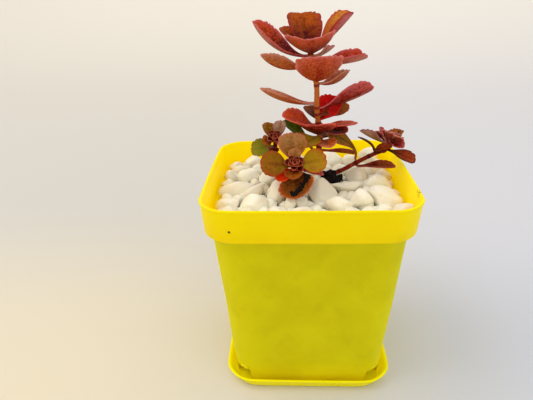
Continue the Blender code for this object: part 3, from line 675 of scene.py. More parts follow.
# along: where the leaf grows, as a share of the stem's length.
# azimuth, rise: where it points, in degrees (0 is +X, 90 is +Y); roll lifts one margin.
# length, width: of the blade; peak: where it is widest, as a share of its length.
# bend: how far it curls up along its length, in degrees.
# fold: a crease along the midrib; cup: how far the margins curl up.
# skin: its colours; teeth: how many would go right round it; blunt: how square its end is;
# swell: how slowly the blade widens from the stalk; hook: how early along it the bend comes.
Leaf = namedtuple(
    "Leaf", "name stem along azimuth rise length width peak roll bend fold cup skin teeth blunt swell hook",
    defaults=(13, 2.4, 1.3, 1))
LEAF_ROWS = {
    "main_stem": (
        ("crown_leaf_back", 0.99, 108, 50, 22.0, 18.0, 0.70, 0, 4, 0.14, 0.25, "bronze", 17, 4.6, 0.6),
        ("crown_leaf_front", 0.99, -92, 29, 15.5, 24.0, 0.50, 4, 28, 0.06, 0.48, "coral", 17, 4.0, 0.45),
        ("crown_leaf_left", 0.97, 186, 33, 33.0, 17.5, 0.66, -22, 66, 0.76, 0.05, "wine", 19),
        ("crown_leaf_small", 0.985, 142, 34, 20.0, 8.5, 0.70, -15, 0, 0.20, 0.20, "bronze"),
        ("crown_leaf_right", 0.98, 8, 43, 25.5, 17.5, 0.72, 6, 8, 1.00, 0.05, "gold", 19),
        ("upper_leaf_left", 0.925, 181, 12, 26.5, 14.0, 0.60, 26, 80, 0.60, 0.20, "tawny", 17),
        ("upper_leaf_front", 0.82, -80, 49, 18.0, 24.0, 0.50, 0, 30, 0.05, 0.34, "coral", 15, 3.4, 0.55),
        ("upper_leaf_right", 0.92, 10, 3, 26.0, 17.0, 0.68, 5, 26, 0.70, 0.10, "rose", 15, 6.0),
        ("upper_leaf_behind", 0.955, 40, 14, 14.5, 11.5, 0.34, -30, 24, 0.20, 0.25, "mauve", 9, 1.2, 0.6),
        ("upper_leaf_low", 0.80, 26, 16, 19.5, 14.0, 0.64, -10, 76, 0.60, 0.20, "tawny"),
        ("middle_leaf_left", 0.685, 186, 17, 29.0, 13.5, 0.62, 2, 42, 0.55, 0.05, "tawny", 17, 2.2),
        ("middle_leaf_right", 0.65, -4, 23, 28.5, 12.0, 0.70, -48, 10, 0.15, 0.25, "berry", 17, 3.0),
        ("middle_leaf_back", 0.575, 38, 50, 14.5, 14.0, 0.50, 22, 16, 0.10, 0.10, "scarlet", 13, 4.0, 0.55),
        ("middle_leaf_side", 0.60, 26, 17, 17.0, 11.0, 0.62, 40, 10, 0.15, 0.20, "umber"),
        ("middle_leaf_dark", 0.585, 112, 24, 11.0, 9.5, 0.60, 0, 16, 0.15, 0.25, "peat", 13, 2.4, 0.8),
        ("lower_leaf_left", 0.54, 200, 22, 19.5, 16.5, 0.52, -18, 10, 0.12, 0.30, "ember", 13, 2.2, 0.6),
        ("lower_leaf_right", 0.54, -24, 9, 19.5, 7.5, 0.50, 8, 10, 0.20, 0.15, "blush", 9, 1.8),
        ("lower_leaf_dark", 0.50, -8, 6, 13.5, 10.0, 0.66, 26, 12, 0.15, 0.25, "dusk", 13, 3.0),
        ("lower_leaf_small", 0.50, -118, 33, 13.5, 24.0, 0.55, 0, 36, 0.08, 0.34, "claret", 15, 3.0, 0.6),
        ("lower_leaf_back", 0.50, 98, 4, 12.0, 8.0, 0.62, 0, 14, 0.15, 0.25, "ember"),
        ("base_leaf_left", 0.47, 226, -8, 14.0, 14.5, 0.50, -12, 6, 0.15, 0.20, "citron", 13, 2.4, 0.7),
        ("base_leaf_front", 0.45, -64, -4, 11.0, 11.0, 0.55, 10, 8, 0.15, 0.25, "rust", 13, 2.4, 0.8),
        ("base_leaf_right", 0.46, 40, 0, 9.0, 6.0, 0.55, 10, 0, 0.15, 0.20, "peat", 13, 2.4, 0.9),
        ("base_leaf_thin", 0.38, 6, -10, 19.5, 5.0, 0.62, -35, -6, 0.40, 0.25, "plum", 9),
        ("base_leaf_green", 0.36, 165, 43, 24.0, 8.0, 0.80, -24, -20, 0.25, 0.20, "fern", 13, 2.4, 1.6),
    ),
    "front_stem": (
        ("front_leaf_left", 0.99, 192, 11, 16.0, 13.0, 0.62, -62, 0, 0.08, 0.15, "olive", 15),
        ("front_leaf_top", 0.98, 101, 52, 16.5, 15.0, 0.62, 0, 6, 0.08, 0.20, "dun", 17),
        ("front_leaf_inner", 1.0, 92, 74, 7.0, 6.5, 0.62, 0, 10, 0.10, 0.25, "dun"),
        ("front_leaf_right", 0.99, -8, 14, 15.0, 12.5, 0.62, 58, 0, 0.08, 0.15, "lime", 15),
        ("front_leaf_bottom", 0.93, -83, -30, 17.5, 18.5, 0.60, 24, 44, 0.08, 0.30, "loam", 17, 2.4, 0.8),
        ("front_leaf_small", 1.0, -95, -22, 8.5, 9.0, 0.60, 0, 30, 0.15, 0.35, "umber"),
        ("front_leaf_red", 0.93, 202, -20, 10.5, 8.0, 0.62, -42, 4, 0.10, 0.20, "flame"),
        ("front_leaf_thin", 0.90, -4, -14, 12.5, 3.6, 0.62, 20, 6, 0.20, 0.20, "berry"),
    ),
    "left_stem": (
        ("left_leaf_up", 0.98, 138, 56, 10.0, 8.5, 0.64, 0, 4, 0.10, 0.20, "moss"),
        ("left_leaf_pale", 0.98, 56, 60, 10.5, 8.0, 0.64, 0, 4, 0.10, 0.20, "pale"),
        ("left_leaf_front", 0.99, 205, 4, 6.0, 6.5, 0.60, -40, 10, 0.10, 0.25, "umber"),
        ("left_leaf_side", 0.97, -48, 4, 7.0, 6.5, 0.60, 0, 10, 0.10, 0.25, "plum"),
        ("left_leaf_green", 0.90, 184, -10, 11.5, 11.5, 0.55, -35, 0, 0.10, 0.20, "leek", 13, 2.4, 0.7),
        ("left_leaf_small", 0.80, 252, 60, 6.0, 6.5, 0.60, 0, 10, 0.15, 0.25, "dusk"),
    ),
    "right_stem": (
        ("right_leaf_thin", 0.58, -1, -1, 21.0, 7.0, 0.66, 26, -8, 0.60, 0.10, "plum", 9, 2.2, 2.2),
        ("right_leaf_hooked", 0.60, 180, 80, 25.0, 9.5, 0.76, -42, -100, 0.20, 0.05, "moss", 9, 1.6, 3.0, 5),
        ("right_leaf_narrow", 0.81, 180, 54, 12.5, 2.0, 0.50, 0, -60, 0.20, 0.10, "peat", 7, 1.8, 1.0, 3),
        ("right_leaf_red", 0.80, -22, 25, 10.8, 4.8, 0.50, 44, -20, 0.20, 0.20, "char", 9, 2.2, 0.6),
        ("right_leaf_tip", 0.92, -8, -22, 15.0, 7.4, 0.66, 38, 8, 0.30, 0.20, "char", 11, 3.4),
        ("right_leaf_pale", 0.985, 174, 25, 14.5, 8.5, 0.60, 30, 16, 0.25, 0.30, "pale", 9, 1.8),
        ("right_leaf_front", 0.985, -22, -8, 7.5, 7.5, 0.60, 26, 16, 0.20, 0.45, "berry"),
        ("right_leaf_upright", 0.995, 162, 66, 7.5, 6.0, 0.62, 0, 6, 0.20, 0.30, "berry"),
        ("right_leaf_back", 0.985, 36, 32, 9.5, 8.5, 0.62, 0, 14, 0.20, 0.30, "umber"),
        ("right_leaf_inner", 1.0, -50, 62, 5.0, 5.0, 0.60, 0, 10, 0.20, 0.40, "dusk"),
    ),
}
LEAVES = [Leaf(name, stem, *row) for stem, rows in LEAF_ROWS.items() for name, *row in rows]

# slot; upper face at its base and tip; underside at its base and tip; margin; midrib.
Skin = namedtuple("Skin", "slot top_base top_tip under_base under_tip margin midrib")
SKINS = {
    "bronze": Skin("bronze_leaf", (90, 18, 3), (182, 84, 8), (140, 70, 25), (190, 112, 80),
                   (150, 44, 44), (70, 8, 3)),
    "coral": Skin("coral_leaf", (120, 30, 10), (196, 92, 44), (168, 74, 12), (196, 84, 50),
                  (222, 120, 112), (140, 24, 6)),
    "wine": Skin("wine_leaf", (84, 6, 3), (196, 68, 10), (140, 44, 22), (196, 118, 92),
                 (206, 96, 96), (58, 3, 3)),
    "gold": Skin("coral_leaf", (160, 56, 6), (206, 142, 48), (176, 60, 44), (200, 118, 108),
                 (172, 40, 32), (150, 20, 8)),
    "tawny": Skin("bronze_leaf", (160, 66, 14), (196, 138, 110), (168, 74, 4), (178, 104, 56),
                  (200, 132, 110), (136, 44, 6)),
    "rose": Skin("coral_leaf", (150, 12, 6), (184, 62, 22), (176, 72, 40), (200, 122, 96),
                 (206, 96, 96), (110, 8, 8)),
    "berry": Skin("wine_leaf", (124, 16, 6), (180, 70, 58), (134, 24, 6), (192, 84, 76),
                  (200, 96, 100), (90, 6, 6)),
    # The leaf is red; its paint is brighter and more saturated, a painted glow standing in for light shining
    # through it from behind.
    "scarlet": Skin("red_leaf", (190, 8, 2), (206, 12, 4), (190, 8, 2), (212, 14, 4),
                    (190, 40, 34), (120, 4, 4)),
    "umber": Skin("olive_leaf", (110, 40, 5), (156, 84, 14), (110, 44, 6), (146, 76, 14),
                  (150, 70, 34), (62, 18, 5)),
    "ember": Skin("red_leaf", (160, 44, 5), (206, 72, 8), (176, 48, 8), (196, 70, 12),
                  (222, 100, 84), (130, 20, 6)),
    "blush": Skin("coral_leaf", (176, 50, 6), (190, 112, 92), (170, 44, 10), (196, 80, 60),
                  (206, 70, 60), (130, 20, 8)),
    "claret": Skin("wine_leaf", (120, 18, 6), (160, 50, 24), (52, 4, 3), (130, 34, 14),
                   (224, 92, 78), (40, 3, 3)),
    "mauve": Skin("bronze_leaf", (212, 150, 92), (216, 160, 146), (212, 150, 92), (216, 160, 146),
                  (206, 130, 124), (120, 60, 30)),
    "loam": Skin("olive_leaf", (96, 50, 4), (122, 66, 10), (96, 50, 6), (120, 62, 14),
                 (184, 82, 34), (60, 24, 4)),
    "dusk": Skin("wine_leaf", (62, 8, 4), (112, 34, 20), (56, 5, 3), (88, 20, 8),
                 (190, 78, 72), (36, 3, 3)),
    "garnet": Skin("wine_leaf", (46, 5, 3), (88, 22, 9), (60, 8, 4), (100, 30, 12),
                   (180, 84, 56), (30, 3, 3)),
    "ruby": Skin("wine_leaf", (50, 5, 3), (130, 44, 24), (56, 8, 4), (124, 42, 22),
                 (214, 132, 112), (110, 24, 16)),
    "peat": Skin("olive_leaf", (96, 34, 2), (136, 64, 4), (48, 16, 4), (84, 40, 10),
                 (104, 50, 24), (30, 8, 4)),
    "olive": Skin("olive_leaf", (132, 94, 3), (152, 100, 12), (124, 72, 6), (150, 94, 16),
                  (156, 62, 24), (112, 56, 4)),
    "dun": Skin("bronze_leaf", (134, 84, 10), (164, 118, 64), (136, 70, 14), (160, 96, 44),
                (190, 106, 76), (110, 56, 8)),
    "moss": Skin("olive_leaf", (120, 82, 6), (156, 110, 24), (120, 72, 8), (146, 98, 34),
                 (166, 84, 50), (80, 44, 5)),
    "lime": Skin("olive_leaf", (144, 120, 5), (170, 126, 16), (140, 90, 10), (170, 110, 20),
                 (170, 68, 22), (132, 84, 6)),
    "rust": Skin("bronze_leaf", (204, 84, 10), (226, 116, 44), (172, 64, 8), (208, 92, 30),
                 (222, 128, 104), (120, 24, 6)),
    # A red-brown leaf; its near-black margin is painted shade, for the far half of the leaf seen in shadow.
    "char": Skin("bronze_leaf", (130, 50, 8), (168, 62, 12), (110, 34, 6), (150, 56, 14),
                 (26, 8, 8), (70, 14, 6)),
    "citron": Skin("olive_leaf", (186, 144, 5), (184, 136, 14), (150, 100, 8), (170, 110, 20),
                   (176, 76, 30), (150, 104, 6)),
    "plum": Skin("wine_leaf", (110, 30, 6), (156, 74, 28), (130, 50, 12), (166, 88, 44),
                 (170, 76, 60), (60, 8, 5)),
    "fern": Skin("green_leaf", (128, 124, 2), (68, 92, 1), (128, 124, 2), (124, 132, 4),
                 (104, 72, 16), (30, 44, 3)),
    "leek": Skin("green_leaf", (112, 112, 6), (138, 130, 16), (110, 100, 6), (140, 120, 16),
                 (128, 96, 40), (96, 96, 5)),
    # The leaf is red; its paint is brighter and more saturated, a painted glow standing in for light shining
    # through it from behind.
    "flame": Skin("red_leaf", (212, 36, 4), (232, 62, 8), (212, 36, 4), (232, 62, 8),
                  (222, 84, 30), (190, 18, 4)),
    "pale": Skin("olive_leaf", (128, 92, 50), (180, 142, 116), (140, 96, 50), (184, 144, 120),
                 (150, 96, 104), (104, 60, 30)),
}


def leaf_finish(name, skin):
    """Leaf skin: its two faces fade along the leaf, with patches, freckles and a broken margin whose
    thinnest edge is partly a painted highlight.
    """
    colours = [paint(*colour) for colour in skin[1:]]
    top_base, top_tip, under_base, under_tip, margin, midrib = colours
    flesh = Finish(name, specular_ior_level=0.06, subsurface_weight=0.08, subsurface_scale=0.002)
    rim = flesh.mark("rim")
    across = flesh.mark("across")
    patches = flesh.grain(4, 3)
    freckles = flesh.grain(0.9, 3)
    reach = flesh.ease(flesh.mark("along") + patches * 1.3 - 0.65, 0.2, 0.9)
    face = flesh.mix(reach, top_base, top_tip)
    back = flesh.mix(reach, under_base, under_tip)
    colour = flesh.mix(flesh.mark("upper"), back, face)
    vein = (1 - flesh.ease(across * across, 0.0, 0.05)) * (0.8 - reach * 0.6)
    colour = flesh.mix(vein, colour, midrib)
    colour = flesh.mix(flesh.ease(patches, 0.5, 0.68) * 0.5, colour, midrib)
    colour = flesh.mix(flesh.ease(freckles, 0.48, 0.7) * 0.6, colour, midrib)
    colour = flesh.mix((1 - flesh.ease(freckles, 0.25, 0.5)) * 0.45, colour, margin)
    colour = flesh.mix(flesh.ease(rim + patches * 0.3, 0.75, 1.1) * 0.35, colour, margin)
    # The thinnest line at the margin takes the margin colour: partly the leaf's own red edge, partly a
    # painted highlight where the rim catches the light.
    edge = flesh.ease(rim + patches * 0.1, 0.91, 1.02) * flesh.ease(patches, 0.25, 0.5)
    colour = flesh.mix(edge * 0.9, colour, margin)
    flesh.cover(base_color=colour, roughness=0.34 + freckles * 0.2)
    flesh.relief(0.12, freckles + patches)
    return flesh


def blade_half_width(leaf, share):
    """Half-width of the blade: a narrow stalk that opens into a rounded spoon."""
    if share < leaf.peak:
        swell = math.sin(math.pi / 2 * max(share, 0) / leaf.peak) ** leaf.swell
    else:
        swell = math.sqrt(max(0, 1 - ((share - leaf.peak) / (1 - leaf.peak)) ** leaf.blunt))
    stalk = PETIOLE_WIDTH / 2 * min(1, 6 * (1 - share))
    return math.hypot(swell * leaf.width / 2, stalk)


class LeafShape:
    """The bent, rolled and folded sheet that a leaf follows."""

    def __init__(self, leaf, path, steps=60):
        self.leaf = leaf
        azimuth = math.radians(leaf.azimuth)
        ahead = Vector((math.cos(azimuth), math.sin(azimuth), 0))
        side = Vector((-math.sin(azimuth), math.cos(azimuth), 0))
        up = Vector((0, 0, 1))
        self.frames = []
        here = Vector((0, 0, 0))
        for step in range(steps + 1):
            rise = math.radians(leaf.rise + leaf.bend * (0.5 - (1 - step / steps) ** leaf.hook))
            forward = ahead * math.cos(rise) + up * math.sin(rise)
            normal = up * math.cos(rise) - ahead * math.sin(rise)
            roll = math.radians(leaf.roll) * min(1, 3 * step / steps)
            across = side * math.cos(roll) + normal * math.sin(roll)
            self.frames.append((here.copy(), across, forward.cross(across)))
            here += forward * leaf.length / steps
        start = (self.frames[1][0] - self.frames[0][0]).normalized()
        stem = path.direction(leaf.along)
        outward = (start - stem * start.dot(stem)).normalized()
        self.gap = outward * (
            stem_radius(leaf.stem, leaf.along) + GAP + 0.4 * LEAF_THICKNESS * abs(start.dot(stem)))
        self.root = path.at(leaf.along) + self.gap
        self.dice = random.Random(leaf.name)
        self.turn = self.dice.uniform(0, 1)
        self.bites = [self.dice.uniform(0.25, 1.3) for _ in range(leaf.teeth + 3)]

    def toothed(self, share, across, rim):
        """Where a point of the flat blade goes once the teeth are cut: its share and offset."""
        leaf = self.leaf
        x = (share - leaf.peak) * leaf.length
        y = across * blade_half_width(leaf, share)
        bearing = math.atan2(y, x)
        count = (bearing / (2 * math.pi) + 0.5) * leaf.teeth + self.turn
        count += 0.3 + 0.3 * math.sin(count * 1.9 + 20 * self.turn)
        notch = (1 - abs(math.sin(math.pi * count))) ** 1.4 * self.bites[int(count)]
        fade = min(1, max(0, (TEETH_FROM - abs(bearing)) / 0.7))
        depth = TOOTH_DEPTH * min(leaf.width, TOOTHED_WIDTH) * notch * fade * rim ** 6
        size = math.hypot(x, y) or 1.0
        ripple = MARGIN_WAVE * leaf.width * math.sin(2 * math.pi * count) * rim ** 4 * fade
        return share - depth * x / size / leaf.length, y - depth * y / size, ripple

    def point(self, share, around):
        """A point of the skin and its marks. The margins are at 0 and pi, and the upper face between."""
        leaf = self.leaf
        across = math.cos(around)
        reach = max(0, (share - leaf.peak) / (1 - leaf.peak)) ** leaf.blunt
        rim = math.sqrt(across ** 2 * (1 - reach) + reach)
        share, offset, ripple = self.toothed(share, across, rim)
        spot = min(max(share, 0), 1) * (len(self.frames) - 1)
        index = min(int(spot), len(self.frames) - 2)
        spine, side, normal = (
            first.lerp(second, spot - index)
            for first, second in zip(self.frames[index], self.frames[index + 1]))
        offset /= math.hypot(1, leaf.fold)
        crease = leaf.fold * (math.hypot(offset, CREASE_ROUND) - CREASE_ROUND)
        curl = leaf.cup * offset ** 2 / (leaf.width / 2)
        swing = math.sin(around)
        thick = LEAF_THICKNESS / 2 * (1 - 0.35 * share) * math.copysign(abs(swing) ** 0.7, swing)
        thick *= (1 - reach) ** 0.35
        groove = MIDRIB * math.exp(-(offset / MIDRIB_WIDTH) ** 2) * (1 - share)
        grip = self.gap * max(0, 1 - share / 0.05)
        place = self.root - grip + spine + side * offset
        place += normal * (crease + curl + thick + ripple - groove)
        return place, share, rim, across, 1.0 if math.sin(around) > 0 else 0.0


def leaf_mesh(shape, around=LEAF_ROUND, along=LEAF_LONG):
    """The leaf's skin, with its rows closest together near its two ends."""

    def place(column, row):
        share = 0.25 * row / along + 0.75 * (0.5 - 0.5 * math.cos(math.pi * row / along))
        return shape.point(share, 2 * math.pi * (column + 0.5) / around)

    return rolled_sheet(
        shape.leaf.name + "_blade", around, along, place, ["along", "rim", "across", "upper"])


leaf_finishes = {name: leaf_finish(name + "_flesh", skin) for name, skin in SKINS.items()}
for leaf in LEAVES:
    blade = leaf_mesh(LeafShape(leaf, stem_paths[leaf.stem]))
    add_piece(leaf.name + "_blade", blade, leaf_finishes[leaf.skin], SKINS[leaf.skin].slot, leaf.name)


# ---- shoot tips ------------------------------------------------------------------------
# Each shoot ends in a tight rosette of leaflets that have only begun to open. They spiral up
# the tip, smaller and more upright towards the middle, and are the darkest red of the plant.

GOLDEN_ANGLE = 137.5
INNER_SPREAD = 14    # degrees between the way that the tip faces and its innermost leaflet
OUTER_SPREAD = 76
INNER_LENGTH = 0.45  # of the innermost leaflet, as a share of the outermost one
LEAFLET_WIDTH = 0.78     # as a share of the length
LEAFLET_START = 0.9  # how far from the tip's middle the leaflets come out
LEAFLET_ROUND = 18
LEAFLET_LONG = 16

# How many leaflets each tip has, how long the outer ones are, the way the tip faces, its
# leaflets' skin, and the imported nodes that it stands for.
TIPS = {
    "main_stem": (6, 6.0, (0.0, -0.1, 1.0), "wine", ()),
    "front_stem": (17, 5.4, (0.1, -0.6, 0.8), "garnet", ("front_bud",)),
    "left_stem": (12, 4.8, (0.1, -0.55, 0.8), "garnet", ()),
    "right_stem": (17, 8.4, (0.25, 0.3, 0.9), "ruby", ()),
}


def leaflet_turns(forward, face):
    """The azimuth, rise and roll that point a leaflet forward with its upper face to the middle."""
    azimuth = math.atan2(forward.y, forward.x)
    rise = math.asin(max(-1, min(1, forward.z)))
    side = Vector((-math.sin(azimuth), math.cos(azimuth), 0))
    roll = math.atan2(-face.dot(side), face.dot(forward.cross(side)))
    return [math.degrees(turn) for turn in (azimuth, rise, roll)]


def tip_mesh(name, count, size, face):
    """All the leaflets of one tip, as one mesh."""
    rosette = bmesh.new()
    middle = Vector(face).normalized()
    start = middle.orthogonal().normalized()
    for number in range(count):
        share = number / (count - 1)
        spin = Matrix.Rotation(math.radians(GOLDEN_ANGLE * number), 3, middle)
        spread = math.radians(INNER_SPREAD + (OUTER_SPREAD - INNER_SPREAD) * share)
        forward = (middle * math.cos(spread) + spin @ start * math.sin(spread)).normalized()
        azimuth, rise, roll = leaflet_turns(forward, middle)
        length = size * (INNER_LENGTH + (1 - INNER_LENGTH) * share)
        leaflet = Leaf(
            f"{name}_leaflet_{number}", name, along=0.995, azimuth=azimuth, rise=rise, length=length,
            width=length * LEAFLET_WIDTH, peak=0.6, roll=roll, bend=30, fold=0.2, cup=0.5, skin=None,
            teeth=9, swell=0.8)
        shape = LeafShape(leaflet, stem_paths[name])
        shape.gap = forward * LEAFLET_START
        shape.root = stem_paths[name].at(1) + shape.gap
        small = leaf_mesh(shape, LEAFLET_ROUND, LEAFLET_LONG)
        rosette.from_mesh(small)
        bpy.data.meshes.remove(small)
    return as_mesh(name + "_rosette", rosette)


for name, (count, size, face, skin, nodes) in TIPS.items():
    add_piece(
        name.replace("stem", "tip_rosette"), tip_mesh(name, count, size, face), leaf_finishes[skin],
        SKINS[skin].slot, *nodes)


# ---- pebbles ---------------------------------------------------------------------------
# Tumbled white marble chips, 6 to 21 mm long, spread over the soil as a mulch. Their edges are
# worn round but their broken faces still show, and finer chips lie in the gaps.

# The larger stones: centre, then length, width and height, the way the length points, and how
# far its far end is raised, both in degrees.
STONES = (
    (-42.0, 17.5, 96.5, 8, 7, 10, 80, 0), (-38.5, 29.0, 96.5, 10, 9, 8, 10, 0),
    (-31.0, 40.0, 98.0, 12, 10, 10, 0, 0), (-31.5, 19.5, 96.5, 16, 12, 10, 5, 8),
    (-37.0, 1.5, 96.0, 21, 12, 10, 25, 8), (-28.0, -2.5, 96.0, 17, 10, 9, 35, 10),
    (-20.5, 15.5, 96.0, 13, 12, 10, 0, 0), (-15.0, -6.0, 96.5, 17, 10, 12, 85, 10),
    (-39.0, -16.0, 95.5, 14, 11, 8, 10, 0), (-26.5, -18.5, 97.0, 15, 13, 10, 10, 5),
    (-37.5, -28.0, 96.5, 12, 10, 8, 0, 0), (-14.5, -28.0, 96.5, 10, 9, 8, 0, 0),
    (-9.0, -19.0, 96.5, 8, 6, 9, 80, 20), (-3.5, -16.0, 96.0, 8, 7, 8, 60, 0),
    (1.0, -2.5, 94.5, 17, 7, 10, 80, 10), (7.6, -6.0, 97.2, 21, 15, 12, 75, 22),
    (20.5, 2.5, 96.5, 17, 10, 7, -22, 0), (17.0, -8.5, 95.0, 7, 6, 6, 0, 0),
    (22.0, -8.0, 94.5, 8, 8, 8, 0, 0), (28.0, 15.5, 97.0, 14, 13, 12, 60, 0),
    (37.0, 25.0, 96.0, 9, 9, 9, 0, 0), (37.5, 6.5, 97.0, 18, 15, 12, 15, 0),
    (37.5, -14.5, 97.5, 18, 15, 12, 5, 0), (25.5, -15.5, 97.0, 13, 13, 12, 20, 10),
    (14.5, -21.5, 97.0, 14, 11, 10, 0, 0), (42.5, -32.0, 99.5, 11, 8, 6, 20, 0),
    (3.0, -21.0, 95.0, 8, 7, 7, 0, 0), (15.5, 38.5, 98.5, 14, 12, 13, 0, 0),
    (27.0, 38.5, 98.5, 12, 11, 11, 0, 0), (36.5, 39.5, 101.5, 12, 9, 10, 0, 0),
    (-9.0, 30.0, 97.5, 12, 11, 10, 20, 0), (2.5, 33.0, 98.0, 12, 11, 10, 70, 0),
    (-19.0, 37.0, 97.5, 12, 11, 9, 30, 0), (-5.0, 43.0, 98.0, 11, 8, 9, 0, 0),
    (-7.0, 17.0, 95.5, 11, 10, 9, 50, 0), (4.0, 22.0, 95.5, 11, 8, 9, 30, 0),
    (18.5, 24.5, 96.5, 11, 10, 10, 10, 0), (43.0, 33.0, 98.0, 8, 8, 8, 0, 0),
    (-19.5, -17.0, 95.0, 9, 8, 8, 40, 0), (-21.0, -29.0, 96.0, 9, 8, 8, 0, 0),
    (6.0, -15.0, 94.6, 9, 8, 7, 0, 0), (5.0, 8.5, 97.6, 8, 7, 9, 90, 0),
    (12.0, -18.0, 94.8, 9, 8, 7, 30, 0), (28.0, -18.0, 95.0, 9, 8, 7, 10, 0),
    (18.5, -18.0, 94.6, 9, 8, 7, 60, 0), (-22.5, 5.5, 94.4, 9, 8, 7, 20, 0),
    (0.5, -16.5, 94.6, 8, 7, 7, 0, 0), (28.5, 8.5, 94.2, 9, 8, 7, 0, 0),
    (-18.0, -5.5, 94.4, 8, 7, 7, 50, 0), (11.5, -3.0, 94.2, 9, 8, 7, 50, 0),
    (-29.5, -27.0, 95.6, 9, 8, 7, 0, 0), (21.0, -27.0, 95.6, 9, 8, 7, 30, 0),
)
CLOD_CLEAR = 4.6     # how far the stones between them stay from the middle of the soil lump
BED_HALF = COLLAR_HALF - WALL - 0.4
BED_FLOOR = LEDGE_TOP - 0.4
STONE_FACES = 11     # broken faces on each stone
STONE_EDGE = 11      # how crisp the edges between them are
STONE_LUMPS = 0.07   # how uneven the stone is between its faces
FINE_STONE = 4.2     # half-length above which a stone gets a finer mesh
FILL_TRIES = 9000


class Stone:
    """A stone's place and size, as the egg that it would be without its broken faces."""

    def __init__(self, x, y, z, length, width, height, turn, lean):
        self.centre = Vector((x, y, z))
        self.radii = Vector((length, width, height)) / 2
        raised = Matrix.Rotation(math.radians(-lean), 3, "Y")
        self.turn = Matrix.Rotation(math.radians(turn), 3, "Z") @ raised

    def clear_of(self, centre, radius):
        """Whether a ball at that place would miss the stone."""
        inside = self.turn.transposed() @ (centre - self.centre)
        return sum((inside[axis] / (self.radii[axis] + radius)) ** 2 for axis in range(3)) > 1


def fill_in(stones, balls, dice, large, small, highest, room):
    """Drop stones of these sizes into the gaps, if room times their length is free round them."""
    for attempt in range(FILL_TRIES):
        length = large + (small - large) * attempt / FILL_TRIES
        radius = length * room
        height = dice.uniform(BED_FLOOR + radius, highest)
        spread = BED_HALF - radius - (0.6 if height > COLLAR_BOTTOM else 3.6)
        place = Vector((dice.uniform(-spread, spread), dice.uniform(-spread, spread), height))
        corner = [abs(place.x) - (BED_HALF - POT_CORNER), abs(place.y) - (BED_HALF - POT_CORNER)]
        if min(corner) > 0 and math.hypot(*corner) > POT_CORNER - radius - 0.6:
            continue
        if all(stone.clear_of(place, radius) for stone in stones) and all(
                (place - centre).length > radius + other for centre, other in balls):
            stones.append(Stone(*place, length, length * 0.86, length * 0.8, dice.uniform(0, 180), 0))


def add_stone(heap, tone_layer, stone, dice):
    """Add one stone to the heap: an egg with broken faces, whose edges are worn round."""
    fineness = 4 if stone.radii.x > FINE_STONE else 3
    made = bmesh.ops.create_icosphere(heap, subdivisions=fineness, radius=1.0)
    faces = [(any_way(dice), dice.uniform(0.58, 0.9)) for _ in range(STONE_FACES)]
    shift = any_shift(dice)
    tilt = Euler([math.radians(dice.uniform(-10, 10)) for _ in range(3)]).to_matrix()
    tone = dice.random()
    points = []
    for vertex in made["verts"]:
        way = vertex.co.normalized()
        worn = 1 + sum(max(0, way.dot(face) / depth) ** STONE_EDGE for face, depth in faces)
        lumps = 1 + STONE_LUMPS * noise.noise(way * 1.6 + shift)
        points.append(way * worn ** (-1 / STONE_EDGE) * lumps)
    reach = [max(abs(point[axis]) for point in points) for axis in range(3)]
    for vertex, point in zip(made["verts"], points):
        point = Vector([point[axis] * stone.radii[axis] / reach[axis] for axis in range(3)])
        vertex.co = (stone.centre + stone.turn @ (tilt @ point)) * MM
        vertex[tone_layer] = tone


def pebble_mesh():
    """The placed stones, then the finer ones between them, clear of the soil lump and the stems."""
    dice = random.Random(SEED)
    stones = [Stone(*row) for row in STONES]
    balls = [(CLOD_CENTRE, CLOD_CLEAR)]
    for name, path in stem_paths.items():
        balls += [(path.at(step / 40), STEM_RADII[name]) for step in range(16)]
    fill_in(stones, balls, dice, large=11, small=6, highest=96.2, room=0.33)
    fill_in(stones, balls, dice, large=9, small=6, highest=94.0, room=0.18)
    heap = bmesh.new()
    tone_layer = heap.verts.layers.float.new("tone")
    for stone in stones:
        add_stone(heap, tone_layer, stone, dice)
    return as_mesh("pebbles", heap)


marble = Finish("white_marble", specular_ior_level=0.3, subsurface_weight=0.12, subsurface_scale=0.004)
clouds = marble.grain(6, 4)
grit = marble.grain(0.9, 4)
tone = marble.mark("tone")
stone_colour = marble.mix(marble.ease(tone, 0.2, 0.9), paint(247, 242, 222), paint(238, 230, 206))
stone_colour = marble.mix(marble.ease(clouds, 0.5, 0.75) * 0.45, stone_colour, paint(222, 208, 172))
stone_colour = marble.mix(marble.ease(grit, 0.62, 0.8) * 0.25, stone_colour, paint(204, 196, 176))
marble.cover(base_color=stone_colour, roughness=0.42 + grit * 0.2)
marble.relief(0.3, grit * 0.6 + clouds)
add_piece("pebbles", pebble_mesh(), marble, "pebbles", "pebble_bed")


# ---- loose crumbs ----------------------------------------------------------------------
# Specks of soil that fell on the lowest front leaf when the pot was filled, and others that
# rolled off the lump by the right-hand shoot.

LEAF_CRUMBS = 110
CLOD_SPILL = 26


